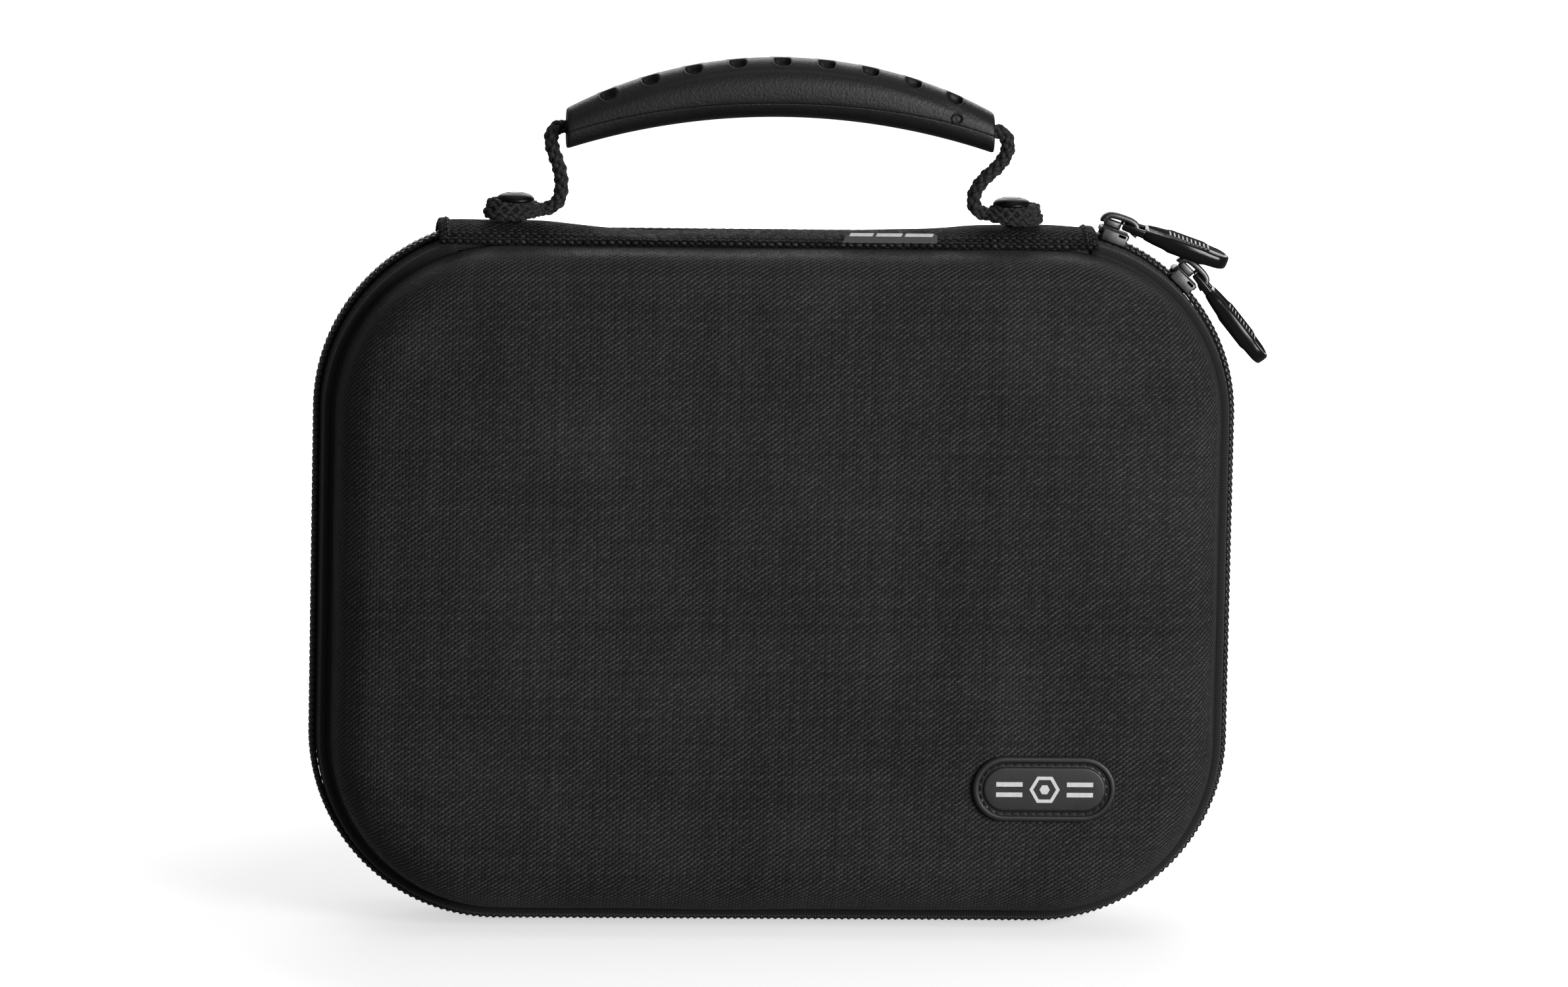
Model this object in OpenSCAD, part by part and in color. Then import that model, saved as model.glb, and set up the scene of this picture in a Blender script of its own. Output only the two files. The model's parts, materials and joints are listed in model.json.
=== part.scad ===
// Soft-sided moulded carry case for tabletop miniatures: two domed half shells in woven fabric,
// a coil zip round the sides and base, a fabric spine on top, and a rope grip riveted to the spine.
// Millimetres. X runs across the case, -Y is the front face, +Z is up.
// Origin: on the floor, at the middle of the zip coil that the case stands on.

/* [Case outline] */
// Overall width over the zip coil
case_w = 267; // [250:1:290]
// Height of the zip coil line, floor to top
case_h = 204; // [194:1:220]
// Corner radius of the zip coil line
corner_r = 55; // [50:1:58]
// Depth of each half, from the middle of the zip to its face
half_d = 36; // [36:1:44]

/* [Half shell] */
// Shell wall's distance inside the coil line
wall_in = 5.8; // [5.6:0.1:6.4]
// Thickness of the woven cover
cover_t = 0.9; // [0.6:0.1:1.2]
// Thickness of the moulded foam shell
shell_t = 3.4; // [2.8:0.1:4]
// Thickness of the lining
lining_t = 0.6; // [0.4:0.1:0.8]

/* [Spine] */
// Left end of the spine strip
spine_left = -98; // [-99:0.5:-96]
// Right end of the spine strip
spine_right = 91.4; // [90:0.5:91.4]
// Height of the two fold lines
fold_z = 199.2; // [199.2:0.1:199.6]

/* [Handle] */
// Height of the rope ends' pivot line
pivot_z = 206.8; // [206.5:0.1:207.2]
// Top of the grip at its middle
grip_top_z = 251.6; // [249:0.5:256]
// Half length of the grip
grip_half = 61.5; // [58:0.5:62]
// Half depth of the grip at its middle
grip_deep = 9.2; // [8:0.1:9.6]
// Rope radius
rope_r = 1.75; // [1.5:0.05:1.85]

/* [Zip] */
// Angle of the first slider round the top right corner
slider_1_at = 70.5; // [70:0.5:71]
// Angle of the second slider round the top right corner
slider_2_at = 45.6; // [44:0.2:46]
// Length of a pull tab
tab_len = 26; // [24:0.5:26]

/* [Badge] */
// Badge centre across the case
badge_x = 77; // [72:1:78]
// Badge centre above the floor
badge_z = 45; // [42:1:50]
// Badge width
badge_w = 41.5; // [36:0.5:42]
// Badge height
badge_h = 19; // [16:0.5:20]

/* [Foam] */
// Depth of the tray's dividers
tray_d = 25; // [20:1:26]
// Thickness of the lid's foam pad
lid_pad_t = 13; // [10:1:14]

/* [Hidden] */
$fn = 48;
// corner centres of the outline
cx = case_w / 2 - corner_r;
cz_top = case_h - corner_r;
// rim of a half shell
rim_w = 13;
layer_gap = 0.05;
corner_steps = 8;
roll_steps = 6;
band_steps = 10;
// the zip leaves the spine at these angles
zip_right_a = 74.5;
zip_left_a = 66;
open_gap = 0.9;
shut_gap = 0.15;
coil_w = 3.7;
// depths of the layers below the outer surface
shell_out = cover_t + layer_gap;
shell_in = shell_out + shell_t;
lining_out = shell_in + layer_gap;
lining_in = lining_out + lining_t;
// foam
foam_clear = 1.3;
cavity_w = half_d - lining_in;
tray_edge = 26;
tray_x = case_w / 2 - tray_edge;
tray_z0 = tray_edge;
tray_z1 = case_h - tray_edge;
divider_t = 8;
pad_t = 4;
rows = 3;
cols = 4;
tray_wall = 10;
tray_top = cavity_w - foam_clear - pad_t - 0.1;
inner_w = 2 * (tray_x - tray_wall);
inner_h = tray_z1 - tray_z0 - 2 * tray_wall;
cell_w = (inner_w - (cols - 1) * divider_t) / cols;
cell_h = (inner_h - (rows - 1) * divider_t) / rows;
// spine arch and the label on its front fold
arch_r = 19.6;
arch_z = 184.1;
arch_half = 12.2;
label_x = 17.3;
label_y = -10.2;
label_z = 200.95;
// handle
grip_rise = 130.5;
grip_belly = 197;
grip_under = 17.1;
grip_steps = 20;
slot_w = 5;
slot_step = 5.65;
pin_x = 50.5;
pin_z = 235.3;
rivet_left = -76;
rivet_right = 67.5;
anchor_base = arch_z + arch_r + 0.1;
anchor_top = 210.3;
bore_r = rope_r + 0.4;
rope_left = [[-72.6, 206.8], [-69.4, 206.8], [-66.2, 207.4], [-63.9, 209.2], [-62.9, 212.2],
    [-62.9, 215.8], [-63.7, 219.6], [-65.1, 223.3], [-66.0, 227.0], [-65.3, 229.9], [-63.2, 230.5]];
rope_right = [[62.9, 230.5], [65.0, 229.8], [66.0, 227.0], [65.3, 223.8], [62.9, 220.4],
    [59.5, 217.2], [57.1, 213.9], [56.3, 210.5], [57.3, 207.8], [59.6, 206.8], [63.0, 206.8]];
// slider and pull
plate_low = 0.35;
plate_high = 2.0;
pull_x = 2.5;
pull_z = 4.2;
pull_2_droop = 6.5;
tab_t = 3.9;
tab_w = 9.2;
tab_x0 = 5.6;

// ---------- placing ----------

module front_half() {
    rotate([90, 0, 0]) children();
}

module back_half() {
    mirror([0, 1, 0]) rotate([90, 0, 0]) children();
}

// x along the zip clockwise, z outward from the coil line
module at_zip(a) {
    translate([cx, 0, cz_top]) rotate([0, 90 - a, 0]) translate([0, 0, corner_r]) children();
}

module at_pull(a, droop) {
    at_zip(a) translate([pull_x, 0, pull_z]) rotate([0, droop, 0]) children();
}

// ---------- flat shapes ----------

module round_rect(w, h, r) {
    square([w - 2 * r, h], center = true);
    square([w, h - 2 * r], center = true);
    for (sx = [-1, 1]) {
        for (sy = [-1, 1]) {
            translate([sx * (w / 2 - r), sy * (h / 2 - r)]) circle(r = r);
        }
    }
}

module pill(w, h) {
    round_rect(w, h, h / 2 - 0.001);
}

// ---------- dished layers ----------

// inset from the coil line and depth of the surface that lies t below the outside
function profile(t) = concat(
    [[wall_in + t, rim_w]],
    [for (k = [0:roll_steps]) [
        wall_in + 17 - (16.3 - t) * cos(90 * k / roll_steps),
        20 + (half_d - 21.6 - t) * sin(90 * k / roll_steps)
    ]],
    [[wall_in + 24, half_d - 0.5 - t], [wall_in + 34, half_d - t]]
);

function ring(inset, w) = [
    for (k = [0:3]) for (j = [0:corner_steps]) let (a = 90 * k + 90 * j / corner_steps) [
        (k == 0 || k == 3 ? cx : -cx) + (corner_r - inset) * cos(a),
        (k < 2 ? cz_top : corner_r) + (corner_r - inset) * sin(a),
        w
    ]
];

function stack(t) = [for (p = profile(t)) ring(p[0], p[1])];

module dish(t_out, t_in) {
    n = 4 * (corner_steps + 1);
    outer = stack(t_out);
    inner = stack(t_in);
    m = len(outer);
    points = concat([for (r = outer) each r], [for (r = inner) each r]);
    in0 = m * n;
    faces = concat(
        [for (i = [0:m - 2]) for (j = [0:n - 1]) let (k = (j + 1) % n)
            [i * n + j, (i + 1) * n + j, (i + 1) * n + k, i * n + k]],
        [[for (j = [n - 1:-1:0]) (m - 1) * n + j]],
        [for (i = [0:m - 2]) for (j = [0:n - 1]) let (k = (j + 1) % n)
            [in0 + i * n + j, in0 + i * n + k, in0 + (i + 1) * n + k, in0 + (i + 1) * n + j]],
        [[for (j = [0:n - 1]) in0 + (m - 1) * n + j]],
        [for (j = [0:n - 1]) let (k = (j + 1) % n) [j, k, in0 + k, in0 + j]]
    );
    polyhedron(points = points, faces = faces, convexity = 6);
}

// ---------- zip band ----------

// places round the outline: corner centre, angle, and whether the zip is open there
function quarter(x, z, from, to, is_open) = [
    for (k = [0:band_steps]) [x, z, from + (to - from) * k / band_steps, is_open]
];

band_places = concat(
    quarter(cx, cz_top, zip_right_a, 0, true),
    quarter(cx, corner_r, 0, -90, false),
    quarter(-cx, corner_r, -90, -180, false),
    quarter(-cx, cz_top, -180, -180 - zip_left_a, false)
);

// a section in (distance inside the coil line, depth) carried round from spine end to spine end
module band(shut_section, open_section) {
    lofted([
        for (p = band_places) [
            for (q = p[3] ? open_section : shut_section) [
                p[0] + (corner_r - q[0]) * cos(p[2]),
                p[1] + (corner_r - q[0]) * sin(p[2]),
                q[1]
            ]
        ]
    ]);
}

function coil_section(gap) = [[0, gap], [0, coil_w], [2, coil_w], [2, gap]];

function tape_section(gap) = [
    [2.05, gap], [2.05, 3.9], [3.3, 9.6], [5.3, 12.9], [9.8, 12.9],
    [9.8, 12.1], [5.8, 12.1], [4.1, 9.4], [2.85, 4.1], [2.85, gap]
];

binding_section = [[2.7, 9.75], [2.9, 10.9], [4.2, 12.4], [5.0, 12.8], [5.04, 12.55], [3.34, 9.75]];

module zip_coil() {
    band(coil_section(shut_gap), coil_section(open_gap));
}

module zip_tape() {
    band(tape_section(1.2), tape_section(1.2));
}

module binding() {
    band(binding_section, binding_section);
}

// ---------- foam ----------

module foam_outline(grow) {
    translate([0, case_h / 2]) {
        round_rect(2 * tray_x + 2 * grow, tray_z1 - tray_z0 + 2 * grow, 30 + grow);
    }
}

// ---------- handle ----------

function grip_up(x) = grip_top_z - grip_rise + sqrt(grip_rise * grip_rise - x * x);
function grip_down(x) = grip_top_z - grip_under - grip_belly + sqrt(grip_belly * grip_belly - x * x);
function grip_depth(x) = grip_deep - 2.2 * x * x / (grip_half * grip_half);
function grip_line(x) = grip_down(x)
    + (0.28 + 0.2 * x * x / (grip_half * grip_half)) * (grip_up(x) - grip_down(x));

// one moulded half of the grip: side +1 above the parting line, -1 below it
function grip_section(x, side) = let (
    top = grip_up(x),
    low = grip_down(x),
    mid = (top + low) / 2,
    tall = (top - low) / 2,
    line = grip_line(x) + side * 0.03,
    bend = 0.82,
    lift = (line - mid) / tall,
    a0 = asin(sign(lift) * pow(abs(lift), 1 / bend)),
    from = side > 0 ? a0 : 180 - a0,
    sweep = side > 0 ? 180 - 2 * a0 : 180 + 2 * a0
) concat(
    [for (k = [0:12]) let (a = from + sweep * k / 12) [
        x,
        grip_depth(x) * sign(cos(a)) * pow(abs(cos(a)), bend),
        mid + tall * sign(sin(a)) * pow(abs(sin(a)), bend)
    ]],
    [for (k = [0:4]) let (a = side > 0 ? 168 - 39 * k : -12 - 39 * k) [
        x,
        bore_r * cos(a),
        line + bore_r * sin(a)
    ]]
);

function rounded(v) = [for (c = v) round(c * 1000) / 1000];

module lofted(sections) {
    n = len(sections[0]);
    m = len(sections);
    polyhedron(
        points = [for (s = sections) for (v = s) rounded(v)],
        faces = concat(
            [for (i = [0:m - 2]) for (j = [0:n - 1]) let (k = (j + 1) % n)
                [i * n + j, (i + 1) * n + j, (i + 1) * n + k, i * n + k]],
            [[for (j = [0:n - 1]) j]],
            [[for (j = [n - 1:-1:0]) (m - 1) * n + j]]
        ),
        convexity = 6
    );
}

module grip_half_piece(side) {
    lofted([
        for (i = [0:grip_steps])
            grip_section(-grip_half + 2 * grip_half * i / grip_steps, side)
    ]);
}

rope_arc = [for (x = [-60:10:60]) [x, grip_line(x)]];
rope_route = concat(rope_left, rope_arc, rope_right);

module rope_tube(route, r) {
    sides = 10;
    m = len(route);
    lofted([
        for (i = [0:m - 1]) let (
            before = route[max(i - 1, 0)],
            after = route[min(i + 1, m - 1)],
            along = (after - before) / norm(after - before)
        ) [
            for (j = [0:sides - 1]) let (a = 360 * j / sides) [
                route[i][0] - r * sin(a) * along[1],
                r * cos(a),
                route[i][1] + r * sin(a) * along[0]
            ]
        ]
    ]);
}

module rope_anchor(x, inner) {
    length = 15.6;
    middle = inner > 0 ? x - 9.5 + length / 2 : x + 9.5 - length / 2;
    difference() {
        translate([middle, 0, anchor_base]) {
            linear_extrude(anchor_top - anchor_base) round_rect(length, 11, 2.4);
        }
        translate([x, 0, anchor_base - 1]) cylinder(r = 2.1, h = 10);
        translate([middle + inner * (length / 2 - 3.2), 0, pivot_z]) {
            rotate([0, inner * 90, 0]) cylinder(r = bore_r - 0.05, h = 8);
        }
    }
}

module rivet(x) {
    translate([x, 0, 0]) {
        rotate_extrude() polygon([
            [0, 199.2], [2, 199.2], [2, anchor_top + 0.02], [5.5, anchor_top + 0.02],
            [5.4, 211.0], [4.7, 211.7], [3.0, 212.2], [0, 212.4]
        ]);
    }
}

module rivet_holes(r) {
    for (x = [rivet_left, rivet_right]) {
        translate([x, 0, 190]) cylinder(r = r, h = 30);
    }
}

// part of the arch between two radii, out to half width from the middle
module arch_layer(r_out, r_in, half, x0, x1) {
    translate([x0, 0, arch_z]) rotate([90, 0, 90]) linear_extrude(x1 - x0) {
        intersection() {
            difference() {
                circle(r = r_out);
                circle(r = r_in);
            }
            translate([-half, 0]) square([2 * half, 30]);
        }
    }
}

// ---------- slider ----------

module plate_shape(half) {
    polygon([
        [-4.2, -half + 1.1], [1.0, -half], [3.4, -half], [4.2, -half + 0.8],
        [4.2, half - 0.8], [3.4, half], [1.0, half], [-4.2, half - 1.1]
    ]);
}

module slider_body() {
    translate([0, 0, plate_low]) linear_extrude(plate_high - plate_low) plate_shape(5.2);
    for (s = [-1, 1]) {
        translate([-3.4, s > 0 ? 4.2 : -4.9, -1.6]) cube([6.8, 0.7, 2.2]);
    }
    translate([0, -0.5, -3.8]) cube([3.4, 1, 4.4]);
    translate([0, 0, -4.6]) linear_extrude(1.2) plate_shape(4.2);
}

module slider_crown() {
    translate([0, 1.6, 0]) rotate([90, 0, 0]) linear_extrude(3.2) polygon([
        [6.1, 2.02], [6.3, 4.5], [5.3, 5.9], [2.5, 6.45], [-1.5, 6.2], [-4.0, 5.0], [-4.6, 3.7],
        [-3.6, 3.6], [-3.1, 4.3], [-1.2, 5.15], [2.5, 5.35], [4.2, 5.0], [5.0, 4.2],
        [4.9, 3.0], [2.0, 2.4], [2.0, 2.02]
    ]);
}

module link_shape(grow) {
    for (s = [-1, 1]) {
        translate([0, s > 0 ? 2.2 - grow : -3.6 - grow, -0.7 - grow]) {
            cube([9.8 + grow, 1.4 + 2 * grow, 1.4 + 2 * grow]);
        }
    }
    translate([8.4 - grow, -3.6, -0.7 - grow]) cube([1.4 + 2 * grow, 7.2, 1.4 + 2 * grow]);
}

module pull_link() {
    translate([0, 3.6, 0]) rotate([90, 0, 0]) cylinder(r = 0.75, h = 7.2);
    link_shape(0);
}

module tab_plan(length, w) {
    square_len = length - w / 2;
    translate([square_len / 2, 0]) square([square_len, w], center = true);
    translate([square_len, 0]) circle(r = w / 2);
}

module pull_tab() {
    difference() {
        union() {
            translate([tab_x0, 0, -tab_t / 2]) linear_extrude(tab_t) tab_plan(tab_len, tab_w);
            translate([tab_x0 + 6.5, -tab_w / 2 - 0.5, -tab_t / 2 + 0.6]) {
                cube([13, tab_w + 1, tab_t - 0.2]);
            }
        }
        link_shape(0.06);
        translate([tab_x0 + 4.9, -2.3, -tab_t / 2 - 1]) cube([tab_len, 4.6, 3.05]);
    }
}

// ---------- back half ----------

module back_shell() {
    color([0.13, 0.13, 0.14]) back_half() dish(shell_out, shell_in);
}

module back_cover() {
    color([0.07, 0.07, 0.08]) back_half() dish(0, cover_t);
}

module back_lining() {
    color([0.2, 0.2, 0.22]) back_half() dish(lining_out, lining_in);
}

module back_binding() {
    color([0.06, 0.06, 0.07]) back_half() binding();
}

module back_zip_tape() {
    color([0.05, 0.05, 0.06]) back_half() zip_tape();
}

module back_zip_coil() {
    color([0.03, 0.03, 0.03]) back_half() zip_coil();
}

module tray_pad() {
    color([0.16, 0.16, 0.17]) back_half() translate([0, 0, cavity_w - foam_clear - pad_t]) {
        linear_extrude(pad_t) foam_outline(0);
    }
}

module tray_frame() {
    color([0.16, 0.16, 0.17]) back_half() translate([0, 0, tray_top - tray_d]) {
        linear_extrude(tray_d) difference() {
            foam_outline(3);
            translate([0, case_h / 2]) square([inner_w, inner_h], center = true);
        }
    }
}

module tray_long_dividers() {
    color([0.18, 0.18, 0.19]) back_half() for (k = [1:rows - 1]) {
        translate([-inner_w / 2 + 0.1, case_h / 2 - inner_h / 2 + k * cell_h + (k - 1) * divider_t,
            tray_top - tray_d]) cube([inner_w - 0.2, divider_t, tray_d]);
    }
}

module tray_short_dividers() {
    color([0.18, 0.18, 0.19]) back_half() for (i = [1:cols - 1]) {
        for (k = [0:rows - 1]) {
            translate([-inner_w / 2 + i * cell_w + (i - 1) * divider_t,
                case_h / 2 - inner_h / 2 + k * (cell_h + divider_t) + 0.1, tray_top - tray_d]) {
                cube([divider_t, cell_h - 0.2, tray_d]);
            }
        }
    }
}

// ---------- front half ----------

module front_shell() {
    color([0.13, 0.13, 0.14]) front_half() dish(shell_out, shell_in);
}

module front_cover() {
    color([0.07, 0.07, 0.08]) front_half() dish(0, cover_t);
}

module front_lining() {
    color([0.2, 0.2, 0.22]) front_half() dish(lining_out, lining_in);
}

module front_binding() {
    color([0.06, 0.06, 0.07]) front_half() binding();
}

module front_zip_tape() {
    color([0.05, 0.05, 0.06]) front_half() zip_tape();
}

module front_zip_coil() {
    color([0.03, 0.03, 0.03]) front_half() zip_coil();
}

module lid_foam() {
    color([0.16, 0.16, 0.17]) front_half() translate([0, 0, cavity_w - foam_clear - lid_pad_t]) {
        linear_extrude(lid_pad_t) foam_outline(0);
    }
}

module at_badge(w) {
    front_half() translate([badge_x, badge_z, w]) children();
}

module badge_patch() {
    color([0.09, 0.09, 0.1]) at_badge(half_d + 0.03) {
        difference() {
            linear_extrude(1.9) pill(badge_w, badge_h);
            translate([0, 0, 1.3]) linear_extrude(1) difference() {
                pill(badge_w - 3.2, badge_h - 3.2);
                pill(badge_w - 6.4, badge_h - 6.4);
            }
        }
    }
}

module badge_mark() {
    color([0.85, 0.85, 0.85]) at_badge(half_d + 1.95) linear_extrude(0.25) {
        difference() {
            circle(r = 4.4, $fn = 6);
            circle(r = 3.3, $fn = 6);
        }
        circle(r = 1.5, $fn = 6);
        for (s = [-1, 1]) {
            translate([s * 10.2, 1.5]) square([7.6, 1.3], center = true);
            translate([s * 10.2, -1.5]) square([7.6, 1.3], center = true);
        }
    }
}

module badge_stitches() {
    groove_h = badge_h - 4.8;
    run = badge_w - badge_h;
    color([0.12, 0.12, 0.13]) at_badge(half_d + 1.62) {
        for (k = [0:8]) {
            for (s = [-1, 1]) {
                translate([-run / 2 + run * (k + 0.5) / 9 - 0.8, s * groove_h / 2, 0]) {
                    rotate([0, 90, 0]) cylinder(r = 0.25, h = 1.6, $fn = 16);
                }
            }
        }
        for (k = [0:7]) {
            for (s = [-1, 1]) {
                translate([s * run / 2, 0, 0]) rotate([0, 0, s * (-90 + 180 * (k + 0.5) / 8)]) {
                    translate([s * groove_h / 2, 0.8, 0]) rotate([90, 0, 0]) {
                        cylinder(r = 0.25, h = 1.6, $fn = 16);
                    }
                }
            }
        }
    }
}

// ---------- spine ----------

module spine_cover() {
    color([0.07, 0.07, 0.08]) difference() {
        arch_layer(arch_r, arch_r - 1, arch_half, spine_left, spine_right);
        rivet_holes(2.1);
    }
}

module spine_piping() {
    color([0.05, 0.05, 0.06]) for (s = [-1, 1]) {
        translate([spine_left, s * rim_w, fold_z]) rotate([0, 90, 0]) {
            cylinder(r = 0.7, h = spine_right - spine_left);
        }
    }
}

module spine_board() {
    color([0.1, 0.1, 0.1]) difference() {
        arch_layer(arch_r - 1.05, arch_r - 2.25, 10.6, spine_left + 3, spine_right - 3);
        rivet_holes(2.1);
    }
}

module spine_lining() {
    color([0.2, 0.2, 0.22]) difference() {
        arch_layer(arch_r - 2.3, arch_r - 2.9, 11.4, spine_left + 1, spine_right - 1);
        rivet_holes(2.1);
    }
}

module at_label() {
    translate([label_x, label_y, label_z]) rotate([34, 0, 0]) children();
}

module spine_label() {
    color([0.22, 0.22, 0.23]) at_label() {
        translate([0, -2.3, 0]) cube([27.7, 4.6, 1.2]);
    }
}

module label_stripe() {
    color([0.85, 0.85, 0.85]) at_label() {
        translate([2, 0.6, 1.22]) cube([23.7, 1.0, 0.2]);
    }
}

module rope_anchor_left() {
    color([0.05, 0.05, 0.05]) rope_anchor(rivet_left, 1);
}

module rope_anchor_right() {
    color([0.05, 0.05, 0.05]) rope_anchor(rivet_right, -1);
}

module rivets() {
    color([0.25, 0.25, 0.27]) {
        rivet(rivet_left);
        rivet(rivet_right);
    }
}

module rivet_washers() {
    color([0.3, 0.3, 0.32]) for (x = [rivet_left, rivet_right]) {
        translate([x, 0, 199.2]) difference() {
            cylinder(r = 4.5, h = 0.9);
            translate([0, 0, -1]) cylinder(r = 2.05, h = 3);
        }
    }
}

// ---------- handle ----------

module grip_slots() {
    for (k = [-4:4]) {
        translate([0, 0, grip_top_z - grip_rise]) rotate([0, k * slot_step, 0]) {
            for (y = [-6.4, 1.0]) {
                translate([-slot_w / 2, y, grip_rise - 1.5]) cube([slot_w, 5.4, 4]);
            }
        }
    }
}

module grip_upper() {
    color([0.05, 0.05, 0.05]) difference() {
        grip_half_piece(1);
        grip_slots();
        translate([pin_x, -20, pin_z]) rotate([-90, 0, 0]) cylinder(r = 1.7, h = 14.6);
    }
}

module grip_lower() {
    color([0.05, 0.05, 0.05]) grip_half_piece(-1);
}

module handle_rope() {
    color([0.04, 0.04, 0.04]) rope_tube(rope_route, rope_r);
}

module grip_pin() {
    color([0.3, 0.3, 0.32]) translate([pin_x, -7.6, pin_z]) rotate([-90, 0, 0]) {
        cylinder(r = 1.6, h = 2.1);
    }
}

// ---------- zip sliders ----------

module slider_1_body() {
    color([0.3, 0.3, 0.32]) at_zip(slider_1_at) slider_body();
}

module slider_1_crown() {
    color([0.35, 0.35, 0.37]) at_zip(slider_1_at) slider_crown();
}

module pull_1_link() {
    color([0.4, 0.4, 0.42]) at_pull(slider_1_at, 0) pull_link();
}

module pull_1_tab() {
    color([0.03, 0.03, 0.03]) at_pull(slider_1_at, 0) pull_tab();
}

module slider_2_body() {
    color([0.3, 0.3, 0.32]) at_zip(slider_2_at) slider_body();
}

module slider_2_crown() {
    color([0.35, 0.35, 0.37]) at_zip(slider_2_at) slider_crown();
}

module pull_2_link() {
    color([0.4, 0.4, 0.42]) at_pull(slider_2_at, pull_2_droop) pull_link();
}

module pull_2_tab() {
    color([0.03, 0.03, 0.03]) at_pull(slider_2_at, pull_2_droop) pull_tab();
}

back_shell();
back_cover();
back_lining();
back_binding();
back_zip_tape();
back_zip_coil();
tray_pad();
tray_frame();
tray_long_dividers();
tray_short_dividers();
front_shell();
front_cover();
front_lining();
front_binding();
front_zip_tape();
front_zip_coil();
lid_foam();
badge_patch();
badge_mark();
badge_stitches();
spine_cover();
spine_piping();
spine_board();
spine_lining();
spine_label();
label_stripe();
rope_anchor_left();
rope_anchor_right();
rivets();
rivet_washers();
grip_upper();
grip_lower();
handle_rope();
grip_pin();
slider_1_body();
slider_1_crown();
pull_1_link();
pull_1_tab();
slider_2_body();
slider_2_crown();
pull_2_link();
pull_2_tab();
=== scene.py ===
import json
import math

import bmesh
import bpy
import numpy as np
from mathutils import Matrix, Vector


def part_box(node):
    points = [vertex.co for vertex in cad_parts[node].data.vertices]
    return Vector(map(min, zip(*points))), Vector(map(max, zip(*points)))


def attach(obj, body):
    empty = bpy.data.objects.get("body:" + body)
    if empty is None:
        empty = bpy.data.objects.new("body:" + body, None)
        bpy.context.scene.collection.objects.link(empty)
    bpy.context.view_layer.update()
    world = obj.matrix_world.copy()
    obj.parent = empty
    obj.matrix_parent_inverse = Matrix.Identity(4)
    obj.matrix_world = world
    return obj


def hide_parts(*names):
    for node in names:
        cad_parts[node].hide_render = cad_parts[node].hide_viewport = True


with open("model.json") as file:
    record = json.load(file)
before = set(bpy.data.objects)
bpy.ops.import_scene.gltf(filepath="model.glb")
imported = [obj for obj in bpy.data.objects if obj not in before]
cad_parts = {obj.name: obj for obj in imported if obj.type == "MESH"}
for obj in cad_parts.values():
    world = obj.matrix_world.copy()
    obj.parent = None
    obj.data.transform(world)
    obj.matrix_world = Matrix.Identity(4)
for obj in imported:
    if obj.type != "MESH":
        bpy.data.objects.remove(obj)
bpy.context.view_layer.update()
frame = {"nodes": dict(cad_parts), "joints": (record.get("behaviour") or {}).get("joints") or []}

MM = 0.001
UV_PER_MM = 0.01
JOINT = {j["name"]: j for j in frame["joints"]}


def box_mm(node):
    lo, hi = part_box(node)
    return np.array(lo) / MM, np.array(hi) / MM


# ---------- sizes, all in millimetres, read from the frame ----------

coil_lo, coil_hi = box_mm("front_zip_coil")
cover_lo, cover_hi = box_mm("front_cover")
spine_lo, spine_hi = box_mm("spine_cover")
grip_hi = box_mm("grip_upper")[1]
CASE_W = coil_hi[0] - coil_lo[0]
HALF_D = -cover_lo[1]
RIM_W = -cover_hi[1]
WALL_IN = coil_hi[0] - cover_hi[0]
CX = JOINT["slider_1_travel"]["pos_m"][0] / MM
CZ_TOP = JOINT["slider_1_travel"]["pos_m"][2] / MM
CORNER_R = CASE_W / 2 - CX
CASE_H = CZ_TOP + CORNER_R
LINING_IN = 5.0
FOLD_Z = JOINT["front_fold"]["pos_m"][2] / MM
FOLD_Y = -JOINT["front_fold"]["pos_m"][1] / MM
PIVOT_Z = JOINT["handle_swing"]["pos_m"][2] / MM


# ---------- mesh helpers ----------

def add_object(name, verts, faces, uv, mat, body, sharp):
    """A mesh object from millimetre points, quads or triangles, and one uv per point."""
    me = bpy.data.meshes.new(name)
    verts = np.asarray(verts, float) * MM
    me.from_pydata(verts.tolist(), [], [list(map(int, f)) for f in faces])
    layer = me.uv_layers.new(name="weave")
    idx = np.empty(len(me.loops), np.int32)
    me.loops.foreach_get("vertex_index", idx)
    layer.data.foreach_set("uv", (np.asarray(uv, float)[idx] * UV_PER_MM).astype(np.float32).ravel())
    me.polygons.foreach_set("use_smooth", [not sharp] * len(me.polygons))
    me.update()
    ob = bpy.data.objects.new(name, me)
    bpy.context.scene.collection.objects.link(ob)
    me.materials.append(mat)
    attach(ob, body)
    return ob


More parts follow.
